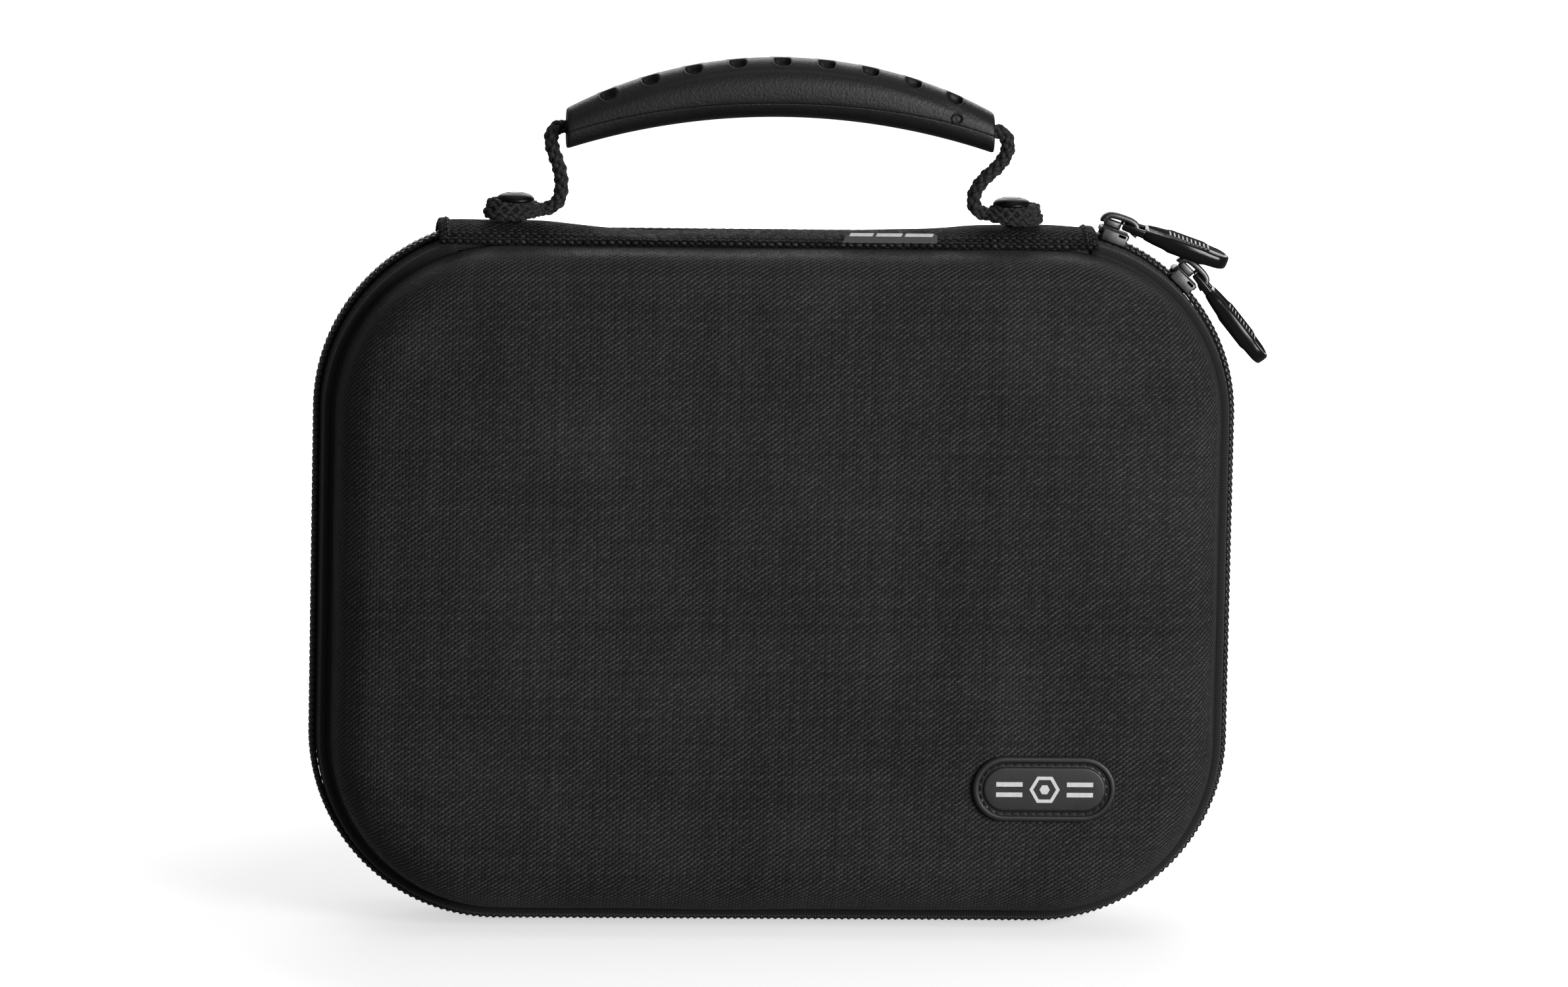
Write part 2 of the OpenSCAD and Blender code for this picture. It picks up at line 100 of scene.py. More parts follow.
class Build:
    """Gathers several patches into one mesh."""

    def __init__(self):
        self.v, self.f, self.uv = [], [], []

    def add(self, pts, faces, uv=None):
        base = len(self.v)
        pts = np.asarray(pts, float).reshape(-1, 3)
        self.v.extend(pts.tolist())
        self.f.extend([[base + k for k in f] for f in faces])
        uv = np.zeros((len(pts), 2)) if uv is None else np.asarray(uv, float).reshape(-1, 2)
        self.uv.extend(uv.tolist())

    def grid(self, pts, uv=None, wrap_n=False, wrap_m=False, caps=False):
        """Quads over a grid of points, joined end to end where wrapped and closed where capped."""
        m, n = pts.shape[:2]
        faces = []
        for i in range(m if wrap_m else m - 1):
            i2 = (i + 1) % m
            for j in range(n if wrap_n else n - 1):
                j2 = (j + 1) % n
                faces.append((i * n + j, i * n + j2, i2 * n + j2, i2 * n + j))
        if caps:
            faces.append(list(range(n))[::-1])
            faces.append([(m - 1) * n + k for k in range(n)])
        self.add(pts, faces, uv)

    def loft(self, rings, uv=None):
        """Skin over closed rings, shut at both ends."""
        self.grid(np.array(rings), uv, wrap_n=True, caps=True)

    def block(self, lo, hi, r, place, seg=3):
        pts, faces = soft_box(lo, hi, r, seg)
        self.add(place(pts), faces)

    def piece(self, name, mat, body, stands_for, slot, fix=True, sharp=False):
        """Finishes the piece: it rides on its body and may stand for a CAD node."""
        ob = add_object(name, self.v, self.f, self.uv, mat, body, sharp)
        if fix:
            face_out(ob)
        if stands_for:
            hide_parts(stands_for)
        return ob


def face_out(ob):
    bm = bmesh.new()
    bm.from_mesh(ob.data)
    bmesh.ops.recalc_face_normals(bm, faces=bm.faces)
    bm.to_mesh(ob.data)
    bm.free()


def front(p):
    """(x, z, depth) points of the front half to the row frame."""
    p = np.asarray(p, float)
    return np.stack([p[..., 0], -p[..., 2], p[..., 1]], -1)


def back(p):
    p = np.asarray(p, float)
    return np.stack([p[..., 0], p[..., 2], p[..., 1]], -1)


SIDES = {"front": front, "back": back}


def smooth_curve(points, step):
    """Catmull-Rom through the points, resampled at an even step."""
    p = np.asarray(points, float)
    ext = np.vstack([2 * p[0] - p[1], p, 2 * p[-1] - p[-2]])
    out = []
    for i in range(1, len(ext) - 2):
        a, b, c, d = ext[i - 1:i + 3]
        for t in np.linspace(0, 1, 12, endpoint=False):
            out.append(0.5 * (2 * b + (c - a) * t + (2 * a - 5 * b + 4 * c - d) * t * t
                              + (3 * b - a - 3 * c + d) * t ** 3))
    out.append(p[-1])
    return resample(np.array(out), step)


def resample(p, step):
    seg = np.linalg.norm(np.diff(p, axis=0), axis=1)
    s = np.concatenate([[0], np.cumsum(seg)])
    n = max(2, int(round(s[-1] / step)) + 1)
    t = np.linspace(0, s[-1], n)
    return np.stack([np.interp(t, s, p[:, k]) for k in range(p.shape[1])], -1)


def arc_length(p):
    return np.concatenate([[0], np.cumsum(np.linalg.norm(np.diff(p, axis=0), axis=1))])


def path_frames(path):
    """Two directions across the path at each of its points, turning as little as they can."""
    t = np.gradient(path, axis=0)
    t /= np.linalg.norm(t, axis=1)[:, None]
    up = np.array([1.0, 0.0, 0.0]) if abs(t[0][1]) > 0.9 else np.array([0.0, 1.0, 0.0])
    ups = []
    for along in t:
        up = up - (up @ along) * along
        up /= np.linalg.norm(up)
        ups.append(up)
    return np.array(ups), np.cross(t, ups)


def tube_points(path, radius, sides):
    """Rings round a path; the radius may vary along it."""
    path = np.asarray(path, float)
    ups, across = path_frames(path)
    r = np.broadcast_to(np.asarray(radius, float), (len(path),))[:, None, None]
    a = turn(sides)[None, :, None]
    return path[:, None] + r * (np.cos(a) * ups[:, None] + np.sin(a) * across[:, None])


def turn(n):
    """n even angles round a full turn."""
    return np.linspace(0, 2 * np.pi, n, endpoint=False)


def uv_grid(along, across):
    return np.stack(np.broadcast_arrays(along[:, None], across[None, :]), -1)


def noise2(x, y, seed=0.0):
    """Cheap smooth bumps, the same on every run."""
    return (np.sin(1.7 * x + 0.9 * y + seed) + np.sin(-1.1 * x + 1.9 * y + 2.1 * seed)
            + np.sin(2.3 * x - 1.3 * y + 0.7 + seed) + np.sin(0.6 * x + 2.7 * y + 1.3 * seed)) / 4


# ---------- material helpers ----------

class Out:
    """A node's output, for plain arithmetic in a material."""

    def __init__(self, k, socket):
        self.k, self.socket = k, socket

    def __add__(self, o):
        return self.k.math("ADD", self, o)

    def __sub__(self, o):
        return self.k.math("SUBTRACT", self, o)

    def __mul__(self, o):
        return self.k.math("MULTIPLY", self, o)

    def __truediv__(self, o):
        return self.k.math("DIVIDE", self, o)

    def __pow__(self, o):
        return self.k.math("POWER", self, o)


class Mat:
    """A node material with small helpers for its graph."""

    def __init__(self, name, **sockets):
        self.m = bpy.data.materials.new(name)
        self.m.use_nodes = True
        self.t = self.m.node_tree
        self.bsdf = next(n for n in self.t.nodes if n.type == "BSDF_PRINCIPLED")
        for key, val in sockets.items():
            self.bsdf.inputs[key.replace("_", " ")].default_value = val

    def node(self, kind, **props):
        n = self.t.nodes.new(kind)
        for k, v in props.items():
            setattr(n, k, v)
        return n

    def link(self, a, b):
        self.t.links.new(a.socket if isinstance(a, Out) else a, b)

    def put(self, val, socket):
        if isinstance(val, (int, float)):
            socket.default_value = val
        else:
            self.link(val, socket)

    def texture(self, kind, vec, out, inputs, **props):
        """A node fed by a vector, with some of its inputs set; gives the output called for."""
        n = self.node(kind, **props)
        self.link(vec, n.inputs["Vector"])
        for key, val in inputs.items():
            n.inputs[key].default_value = val
        return Out(self, n.outputs[out])

    def math(self, op, *values):
        n = self.node("ShaderNodeMath", operation=op)
        for val, socket in zip(values, n.inputs):
            self.put(val, socket)
        return Out(self, n.outputs[0])

    def coords(self, kind="Object"):
        return self.node("ShaderNodeTexCoord").outputs[kind]

    def cloth_mm(self):
        """Millimetres along and across the cloth."""
        return self.split(self.scaled(self.coords("UV"), 1 / UV_PER_MM))

    def wave(self, phase):
        """Rounded ridges, 0 to 1."""
        return self.math("ABSOLUTE", self.math("SINE", phase))

    def split(self, vec):
        return [Out(self, o) for o in self.texture("ShaderNodeSeparateXYZ", vec, 0, {}).socket.node.outputs]

    def scaled(self, vec, x, y=None, z=None):
        scale = (x, x, x) if y is None else (x, y, z)
        return self.texture("ShaderNodeMapping", vec, 0, {"Scale": scale})

    def noise(self, vec, scale, detail=2.0, rough=0.5):
        inputs = {"Scale": scale, "Detail": detail, "Roughness": rough}
        return self.texture("ShaderNodeTexNoise", vec, "Fac", inputs)

    def cells(self, vec, scale):
        return self.texture("ShaderNodeTexVoronoi", vec, "Distance", {"Scale": scale}, feature="F1")

    def white(self, a, b):
        c = self.node("ShaderNodeCombineXYZ")
        self.put(a, c.inputs[0])
        self.put(b, c.inputs[1])
        return self.texture("ShaderNodeTexWhiteNoise", c.outputs[0], "Value", {}, noise_dimensions="2D")

    def span(self, val, a0, a1, b0, b1):
        n = self.node("ShaderNodeMapRange")
        self.put(val, n.inputs["Value"])
        for key, v in zip(("From Min", "From Max", "To Min", "To Max"), (a0, a1, b0, b1)):
            n.inputs[key].default_value = v
        return Out(self, n.outputs["Result"])

    def mix(self, fac, a, b):
        """Blend of two colours."""
        n = self.node("ShaderNodeMix", data_type="RGBA")
        self.put(fac, n.inputs["Factor"])
        for val, key in ((a, 6), (b, 7)):
            n.inputs[key].default_value = (*val, 1.0)
        return Out(self, n.outputs[2])

    def shade(self, tone, lo, hi, base, dark, light):
        """Base colour from a tone between lo and hi: from dark to light times the base grey."""
        self.colour(self.mix(self.span(tone, lo, hi, 0.0, 1.0), grey(base * dark), grey(base * light)))

    def colour(self, out):
        self.link(out, self.bsdf.inputs["Base Color"])

    def rough(self, out):
        self.link(out, self.bsdf.inputs["Roughness"])

    def bump(self, height, distance, strength):
        n = self.node("ShaderNodeBump")
        n.inputs["Distance"].default_value = distance
        n.inputs["Strength"].default_value = strength
        self.link(height, n.inputs["Height"])
        self.link(n.outputs[0], self.bsdf.inputs["Normal"])


def grey(v, tint=0.0):
    return (v * (1 - tint), v, v * (1 + 1.5 * tint))


def weave_heights(k, u, v):
    """Plain weave height, 0 to 1, and each crossing's own random value, from coordinates in yarns."""
    iu, iv = k.math("FLOOR", u), k.math("FLOOR", v)
    fu, fv = k.math("FRACT", u), k.math("FRACT", v)
    warp_round = k.math("SINE", fu * math.pi)
    weft_round = k.math("SINE", fv * math.pi)
    warp_wave = k.math("COSINE", (v - 0.5 + iu) * math.pi)
    weft_wave = k.math("COSINE", (u + 0.5 + iv) * math.pi)
    warp = warp_round * k.math("MULTIPLY_ADD", warp_wave, 0.5, 0.5)
    weft = weft_round * k.math("MULTIPLY_ADD", weft_wave, 0.5, 0.5)
    over = k.span(weft - warp, -0.25, 0.25, 0.0, 1.0)
    return k.math("MAXIMUM", warp, weft), over, k.white(iu, iv), k.white(iu, 3.5), k.white(7.5, iv)


def woven(name, base, pitch=(0.985, 0.72), wobble=0.14, rough=0.6, deep=0.00024, climb=0.75, spec=0.22):
    """Coarse plain-weave synthetic cloth: painted highlights on the cross yarns where they lie on top,
    painted shade on the long ones and in the dips between yarns.
    """
    k = Mat(name, Roughness=rough, Specular_IOR_Level=spec, Sheen_Weight=spec * 0.15, Sheen_Roughness=0.5)
    uv = k.coords("UV")
    s = k.cloth_mm()
    shift = k.span(k.noise(uv, 25.0, 3.0), 0.2, 0.8, -wobble * 2, wobble * 2)
    jog = k.span(k.noise(uv, 120.0, 1.0), 0.2, 0.8, -wobble, wobble)
    u = s[0] / pitch[0] + (shift + jog)
    v = s[1] / pitch[1] - (shift - jog)
    v = v - (k.math("FRACT", u) - 0.5) * climb
    height, over, cell, warp_tone, weft_tone = weave_heights(k, u, v)
    fibre = k.noise(k.scaled(uv, 60.0, 420.0, 1.0), 12.0, 2.0)
    patch = k.noise(k.coords(), 26.0, 3.0, 0.6)
    # painted highlight on the cross yarns where they lie on top, with a random tone per crossing, and
    # painted shade towards each yarn's dips
    painted_highlight = over * k.span(cell, 0.0, 1.0, 0.45, 1.0)
    painted_highlight = painted_highlight * k.span(height, 0.2, 1.0, 0.3, 1.0)
    tone = painted_highlight * 0.75 + fibre * 0.16
    tone = tone + (warp_tone + weft_tone) * 0.06
    tone = tone + (patch - 0.5) * 0.35
    tone = k.math("MAXIMUM", tone, 0.0) ** 1.5
    k.shade(tone, 0.02, 0.9, base, 0.22, 7.0)
    k.rough(k.span(cell, 0.0, 1.0, rough - 0.16, rough + 0.14))
    k.bump(height + fibre * 0.2, deep, 0.9)
    return k.m


def knit(name, base):
    """Fine brushed knit for the linings."""
    k = Mat(name, Roughness=0.9, Sheen_Weight=0.5, Sheen_Roughness=0.45, Specular_IOR_Level=0.2)
    s = k.cloth_mm()
    u = s[0] / 0.8
    zig = k.math("PINGPONG", u, 0.5) * 0.9
    v = s[1] / 0.55 + zig
    rise = k.math("MULTIPLY_ADD", k.math("SINE", v * (2 * math.pi)), 0.5, 0.5)
    loop = k.math("SINE", k.math("FRACT", u) * math.pi) * rise
    fuzz = k.noise(k.coords(), 2600.0, 3.0)
    patch = k.noise(k.coords(), 30.0, 3.0)
    # colour lighter on the loops' crests and darker between them, which is painted shade, plus random fuzz
    # and patch tone
    tone = loop * 0.4 + (fuzz * 0.5 + patch * 0.3)
    k.shade(tone, 0.2, 1.0, base, 0.5, 1.5)
    k.bump(loop + fuzz, 0.00018, 0.8)
    return k.m


def foam_mat(name, base):
    """Open-cell foam: fine pores with a few larger ones."""
    k = Mat(name, Roughness=0.95, Specular_IOR_Level=0.15, Sheen_Weight=0.2, Sheen_Roughness=0.6)
    co = k.coords()
    pores = k.cells(co, 1500.0)
    big = k.cells(co, 520.0)
    patch = k.noise(co, 35.0, 3.0)
    # darker in the pores, which is painted shade, plus random patch tone
    tone = pores * 0.8 + patch * 0.5
    k.shade(tone, 0.15, 0.9, base, 0.55, 1.35)
    k.bump(pores * 0.6 + big * 0.6, 0.0004, 0.8)
    return k.m


def rubber(name, base, rough, grain=0.00004, grain_scale=2600.0, coat=0.0, spec=0.5):
    """Moulded rubber or plastic with a fine sparked grain and slightly rubbed patches."""
    k = Mat(name, Roughness=rough, Specular_IOR_Level=spec, Coat_Weight=coat, Coat_Roughness=0.25)
    co = k.coords()
    fine = k.noise(co, grain_scale, 3.0, 0.7)
    wide = k.noise(co, 60.0, 4.0, 0.6)
    k.colour(k.mix(wide, grey(base * 0.8), grey(base * 1.25)))
    k.rough(k.span(fine * 0.5 + wide * 0.5, 0.3, 0.7, max(rough - 0.09, 0.05), rough + 0.1))
    k.bump(fine, grain, 0.8)
    return k.m


def metal(name, base, rough, wear=0.3):
    """Dark plated metal, brushed by handling, brighter where it is rubbed."""
    k = Mat(name, Metallic=1.0, Roughness=rough)
    co = k.coords()
    scr = k.noise(k.scaled(co, 1.0, 1.0, 0.12), 2400.0, 3.0, 0.7)
    blot = k.noise(co, 320.0, 4.0, 0.6)
    k.colour(k.mix(k.span(blot, 0.35, 0.75, 0.0, wear), grey(base, 0.01), grey(min(base * 3, 0.8), 0.005)))
    k.rough(k.span(scr + blot, 0.6, 1.4, rough - 0.08, rough + 0.12))
    k.bump(scr, 0.00002, 0.6)
    return k.m


def tape_mat(name, base):
    """Zip tape: fine ribs along its length and a soft herringbone between them."""
    k = Mat(name, Roughness=0.7, Specular_IOR_Level=0.35, Sheen_Weight=0.1, Sheen_Roughness=0.5)
    s = k.cloth_mm()
    rib = k.wave(s[1] * (math.pi / 0.62))
    side = k.math("FLOOR", s[1] / 0.62)
    lean = k.math("PINGPONG", side, 1.0) * 2.0
    v = s[0] / 0.6 + (lean - 1.0) * (s[1] / 0.9)
    cross = k.wave(v * math.pi)
    fuzz = k.noise(k.coords(), 3000.0, 2.0)
    h = rib * 0.7 + cross * 0.45
    # colour follows the rib and herringbone height: painted shade in the grooves, plus random fuzz tone
    tone = h * 0.6 + fuzz * 0.5
    k.shade(tone, 0.2, 1.0, base, 0.45, 1.5)
    k.bump(h, 0.00022, 0.9)
    return k.m


def grosgrain(name, base):
    """Binding tape: tight cross ribs with a fuzzy nap."""
    k = Mat(name, Roughness=0.78, Specular_IOR_Level=0.3, Sheen_Weight=0.2, Sheen_Roughness=0.5)
    s = k.cloth_mm()
    rib = k.wave(s[0] * (math.pi / 0.75))
    yarn = k.wave((s[1] + s[0] * 0.5) * (math.pi / 0.6))
    fuzz = k.noise(k.coords(), 2400.0, 3.0)
    h = rib * 0.7 + (yarn * 0.35 + fuzz * 0.4)
    # colour is the bump's own height: darker between the ribs, which is painted shade, with random fuzz
    # tone
    k.shade(h, 0.25, 1.2, base, 0.4, 1.5)
    k.bump(h, 0.00025, 0.9)
    return k.m


def strand_mat(name, base, pitch=0.55):
    """Twisted filament yarn for rope and thread."""
    k = Mat(name, Roughness=0.6, Specular_IOR_Level=0.4, Sheen_Weight=0.15, Sheen_Roughness=0.4)
    s = k.cloth_mm()
    twist = k.wave((s[1] + s[0] * 0.7) * (math.pi / pitch))
    fuzz = k.noise(k.coords(), 2800.0, 2.0)
    tone = twist * 0.6 + fuzz * 0.5
    # colour follows the twist's relief: painted shade in the grooves between twists, plus random fuzz tone
    k.shade(tone, 0.2, 1.0, base, 0.4, 1.7)
    k.bump(tone, 0.00012, 0.9)
    return k.m


def plain_print(name, base):
    k = Mat(name, Roughness=0.45, Specular_IOR_Level=0.4)
    co = k.coords()
    ink = k.noise(co, 900.0, 3.0, 0.6)
    k.shade(ink, 0.3, 0.7, base, 0.86, 1.0)
    k.bump(k.noise(co, 2600.0, 2.0), 0.00003, 0.6)
    return k.m


M = {
    "fabric": woven("cover_fabric_weave", 0.0155),
    "spine_fabric": woven("spine_fabric_weave", 0.0135, pitch=(1.15, 1.0), rough=0.7, deep=0.0004,
                          climb=0.2, spec=0.06),
    "lining": knit("lining_knit", 0.035),
    "shell": foam_mat("moulded_shell", 0.02),
    "foam": foam_mat("tray_foam", 0.035),
    "foam_light": foam_mat("lid_foam", 0.05),
    "tape": tape_mat("zip_tape_ribbed", 0.013),
    "binding": grosgrain("binding_grosgrain", 0.011),
    "coil": rubber("zip_coil_nylon", 0.012, 0.33, grain=0.00002, spec=0.5),
    "thread": strand_mat("sewing_thread", 0.03, 0.3),
    "rope": strand_mat("rope_yarn", 0.012, 0.5),
    "grip": rubber("grip_rubber_grain", 0.009, 0.44, grain=0.0002, grain_scale=1100.0, spec=0.42),
    "pull": rubber("pull_rubber_gloss", 0.004, 0.2, grain=0.00002, coat=0.1, spec=0.4),
    "badge": rubber("badge_rubber_satin", 0.017, 0.45, grain=0.00004),
    "label": rubber("label_rubber_grey", 0.085, 0.45, grain=0.00005),
    "print": plain_print("light_print_ink", 0.78),
    "board": rubber("stiffener_board", 0.02, 0.6, grain=0.0001, grain_scale=800.0),
    "gunmetal": metal("slider_gunmetal", 0.085, 0.36, 0.35),
    "chrome_dark": metal("crown_gunmetal", 0.075, 0.34, 0.35),
    "rivet": metal("rivet_black", 0.022, 0.36, 0.1),
}


# ---------- outline of the case ----------

def rounded_loop(half_x, half_z, r, corner=10, run=14):
    """Closed rounded rectangle about the case's middle: (x, z) points and their outward directions."""
    hx, hz = half_x - r, half_z - r
    pts, dirs = [], []
    corners = [(hx, hz, 0), (-hx, hz, 90), (-hx, -hz, 180), (hx, -hz, 270)]
    for k, (px, pz, a0) in enumerate(corners):
        for a in np.radians(np.linspace(a0, a0 + 90, corner + 1)):
            pts.append((px + r * math.cos(a), pz + r * math.sin(a)))
            dirs.append((math.cos(a), math.sin(a)))
        nx, nz, _ = corners[(k + 1) % 4]
        a = math.radians(a0 + 90)
        for t in np.linspace(0, 1, run + 2)[1:-1]:
            pts.append((px + (nx - px) * t + r * math.cos(a), pz + (nz - pz) * t + r * math.sin(a)))
            dirs.append((math.cos(a), math.sin(a)))
    pts = np.array(pts)
    pts[:, 1] += CASE_H / 2
    return pts, np.array(dirs)


def ring(inset):
    """Loop round the case, this far inside the coil line, and its outward directions."""
    return rounded_loop(CASE_W / 2 - inset, CASE_H / 2 - inset, max(CORNER_R - inset, 2.0), 16)


def loop_at(points, w):
    """A closed loop of (x, z) points put at depth w."""
    return np.column_stack([points, np.full(len(points), w)])


def profile(t, step=1.1):
    """(inset, depth) of the half shell's surface this far under its outside."""
    pts = [(WALL_IN + t, RIM_W), (WALL_IN + t + 0.25, RIM_W + 3.6)]
    for k in range(7):
        a = math.radians(15 * k)
        pts.append((WALL_IN + 17 - (16.3 - t) * math.cos(a), 20 + (HALF_D - 21.6 - t) * math.sin(a)))
    pts += [(WALL_IN + 24, HALF_D - 0.55 - t), (WALL_IN + 33, HALF_D - 0.08 - t),
            (WALL_IN + 44, HALF_D - t), (WALL_IN + 55, HALF_D - t)]
    return smooth_curve(pts, step)


def shell_surface(t, step=1.1, ripple=0.0):
    """The dished surface with coordinates unrolled from its flat face."""
    prof = profile(t, step)
    flat = [(i, HALF_D - t) for i in (70, 80, 90, 97)]
    prof = np.vstack([prof, flat])
    s_back = arc_length(prof)
    s_back = s_back[-1] - s_back
    grid, uv = [], []
    for (inset, w), s in zip(prof, s_back):
        p, d = ring(inset)
        grid.append(loop_at(p, w))
        uv.append(p + d * (s - (prof[-1, 0] - inset)))
    grid, uv = np.array(grid), np.array(uv)
    if ripple:
        side = np.clip((HALF_D - 1.5 - grid[..., 2]) / 6, 0, 1) * np.clip((grid[..., 2] - RIM_W) / 5, 0, 1)
        n = noise2(grid[..., 0] / 16, grid[..., 1] / 16 + grid[..., 2] / 9, 0.4)
        away = grid[..., :2] - np.array([0, CASE_H / 2])
        away /= np.linalg.norm(away, axis=-1)[..., None]
        grid[..., :2] += away * (ripple * n * side)[..., None]
    return grid, uv


def dish(side, grid, uv, lip, node, mat, slot):
    """A dished cloth with a lip of (inset, depth) rings from the rim's corner turned in."""
    turned = [loop_at(ring(WALL_IN + inset)[0], RIM_W + w) for inset, w in lip]
    grid = np.concatenate([np.array(turned), grid])
    uv = np.concatenate([np.array([uv[0]] * len(lip)), uv])
    b = Build()
    b.grid(SIDES[side](grid), uv, wrap_n=True)
    m, n = grid.shape[:2]
    b.f.append([(m - 1) * n + k for k in range(n)])
    b.piece(f"{side}_{node}_cloth", mat, side + "_half", f"{side}_{node}", slot)


for side in SIDES:
    dish(side, *shell_surface(0.0, ripple=0.25), ((0.9, 1.5), (0.7, 0.2), (0.3, 0.0)),
         "cover", M["fabric"], "cover_fabric")
    dish(side, *shell_surface(LINING_IN, 1.6), ((3.6, 0.05), (4.6, -0.02)),
         "lining", M["lining"], "lining_fabric")


# ---------- zip band ----------

def band_stations(step_deg=3.0, run=12.0):
    """Places along the zip, clockwise from the spine's right end: corner centre, direction, arc length."""
    right_a, left_a = 77.0, 73.0
    corners = [(CX, CZ_TOP, right_a, 0), (CX, CORNER_R, 0, -90),
               (-CX, CORNER_R, -90, -180), (-CX, CZ_TOP, -180, -180 - left_a)]
    out, s = [], 0.0
    for k, (cx, cz, a0, a1) in enumerate(corners):
        n = max(2, int(abs(a1 - a0) / step_deg) + 1)
        for i, a in enumerate(np.linspace(a0, a1, n)):
            out.append((cx, cz, math.radians(a), s))
            if i < n - 1:
                s += CORNER_R * math.radians(abs(a1 - a0)) / (n - 1)
        if k < 3:
            nx, nz = corners[k + 1][:2]
            dist = math.hypot(nx - cx, nz - cz)
            m = int(dist / run)
            for t in np.linspace(0, 1, m + 2)[1:-1]:
                out.append((cx + (nx - cx) * t, cz + (nz - cz) * t, math.radians(a1), s + dist * t))
            s += dist
    return np.array(out), s


STATIONS, ZIP_LENGTH = band_stations()


def along_zip(s):
    """Interpolated place at arc length s."""
    return np.array([np.interp(s, STATIONS[:, 3], STATIONS[:, k]) for k in range(3)])


def band_points(section, stations=STATIONS):
    """A section in (inset, depth) swept round the zip."""
    u, w = section[:, 0], section[:, 1]
    rows = []
    for cx, cz, a, _ in stations:
        r = CORNER_R - u
        rows.append(np.column_stack([cx + r * math.cos(a), cz + r * math.sin(a), w]))
    return np.array(rows)


def swept_band(side, name, section, mat, replaces, slot_name):
    sec = np.asarray(section, float)
    across = arc_length(sec)
    pts = band_points(sec)
    uv = uv_grid(STATIONS[:, 3], across)
    b = Build()
    b.grid(SIDES[side](pts), uv, wrap_n=False, caps=True)
    n = len(sec)
    b.f.extend([[i * n + n - 1, i * n, (i + 1) * n, (i + 1) * n + n - 1] for i in range(len(STATIONS) - 1)])
    b.piece(name, mat, side + "_half", replaces, slot_name)


def make_teeth(side):
    """Coil loops: a rounded bar across the chain at each tooth, joined by the core."""
    pitch = 1.95
    count = int((ZIP_LENGTH - 4) / pitch)
    b = Build()
    shift = 0.0 if side == "front" else pitch / 2
    a = turn(8)
    for k in range(count):
        s = 2.0 + shift + k * pitch
        cx, cz, ang = along_zip(s)
        d = np.array([math.cos(ang), math.sin(ang)])
        t = np.array([math.sin(ang), -math.cos(ang)])
        # centre height across, half width along the zip, half thickness
        stops = [(0.2, 0.4, 0.5), (0.4, 0.74, 0.8), (0.9, 0.86, 0.88), (1.7, 0.78, 0.86),
                 (2.7, 0.8, 0.88), (3.3, 0.66, 0.78), (3.66, 0.3, 0.4)]
        rings = []
        for w, along, thick in stops:
            lean = 0.62 * (w - 1.9) / 1.9
            out = CORNER_R - 1.0 + thick * np.sin(a)
            step = lean + along * np.cos(a)
            x = cx + out * d[0] + step * t[0]
            z = cz + out * d[1] + step * t[1]
            rings.append(np.column_stack([x, z, np.full(8, w)]))
        b.loft(SIDES[side](np.array(rings)))
    core = np.array([(0.62, 0.9), (0.5, 1.6), (0.5, 2.7), (0.7, 3.35), (1.98, 3.5), (1.98, 0.7)])
    b.loft(SIDES[side](band_points(core)))
    b.piece(side + "_coil_teeth", M["coil"], side + "_half", side + "_zip_coil", "zip_coil")


def make_stitch_row(b, side, w, inset, pitch=2.6, long=1.9, r=0.17):
    count = int((ZIP_LENGTH - 8) / pitch)
    for k in range(count):
        s = 4.0 + k * pitch
        pts = []
        for t in np.linspace(0, long, 5):
            cx, cz, ang = along_zip(s + t)
            lift = 0.13 * math.sin(math.pi * t / long)
            rr = CORNER_R - inset + lift
            pts.append((cx + rr * math.cos(ang), cz + rr * math.sin(ang), w))
        rings = tube_points(SIDES[side](np.array(pts)), r, 6)
        b.grid(rings, uv_grid(np.linspace(0, long, 5), np.linspace(0, 1, 6)), wrap_n=True, caps=True)


def round_section(cu, cw, ru, rw, n=14, flat=1.0):
    a = turn(n)
    return np.column_stack([cu + ru * np.sign(np.cos(a)) * np.abs(np.cos(a)) ** flat,
                            cw + rw * np.sign(np.sin(a)) * np.abs(np.sin(a)) ** flat])


TAPE = smooth_curve([(2.15, 1.3), (2.1, 2.6), (2.2, 3.9), (2.45, 5.2), (2.75, 6.6), (3.0, 8.2), (3.3, 9.6),
                     (4.0, 11.2), (5.0, 12.5), (6.0, 12.92), (7.6, 12.95), (9.8, 12.9)], 0.5)
TAPE_IN = TAPE[::-1] + np.array([0.55, -0.55])
TAPE_IN[:6, 1] = TAPE[::-1][:6, 1] - 0.7
TAPE_IN[:6, 0] = TAPE[::-1][:6, 0]

for side in SIDES:
    swept_band(side, side + "_tape_strip", np.vstack([TAPE, TAPE_IN]), M["tape"],
               side + "_zip_tape", "zip_tape")
    bead = round_section(4.1, 11.35, 1.45, 1.5, 16, 0.9)
    swept_band(side, side + "_binding_bead", bead, M["binding"], side + "_binding", "binding_fabric")
    make_teeth(side)
    rows = Build()
    make_stitch_row(rows, side, 4.7, 2.3)
    make_stitch_row(rows, side, 8.9, 3.1)
    rows.piece(side + "_tape_stitches", M["thread"], side + "_half", None, "thread")


# ---------- spine ----------

ARCH_HALF = spine_hi[1]
ARCH_R = 19.6
ARCH_Z = spine_hi[2] - ARCH_R
X0, X1 = spine_lo[0], spine_hi[0]
rivet_box = box_mm("rivets")
RIVETS = (rivet_box[0][0] + 5.5, rivet_box[1][0] - 5.5)


SAG = np.array([(-99, 0.5), (-90, 0.0), (-70, 0.1), (-58, 1.1), (-46, 2.5), (-35, 3.1), (-20, 2.5),
                (0, 2.3), (23, 2.3), (45, 1.3), (58, 0.3), (76, 0.0), (85, 0.3), (92, 0.9)])


def spine_drop(x):
    """How far the cloth arch sags between the rope's rivets."""
    soft = smooth_curve(SAG, 1.0)
    return np.interp(x, soft[:, 0], soft[:, 1])


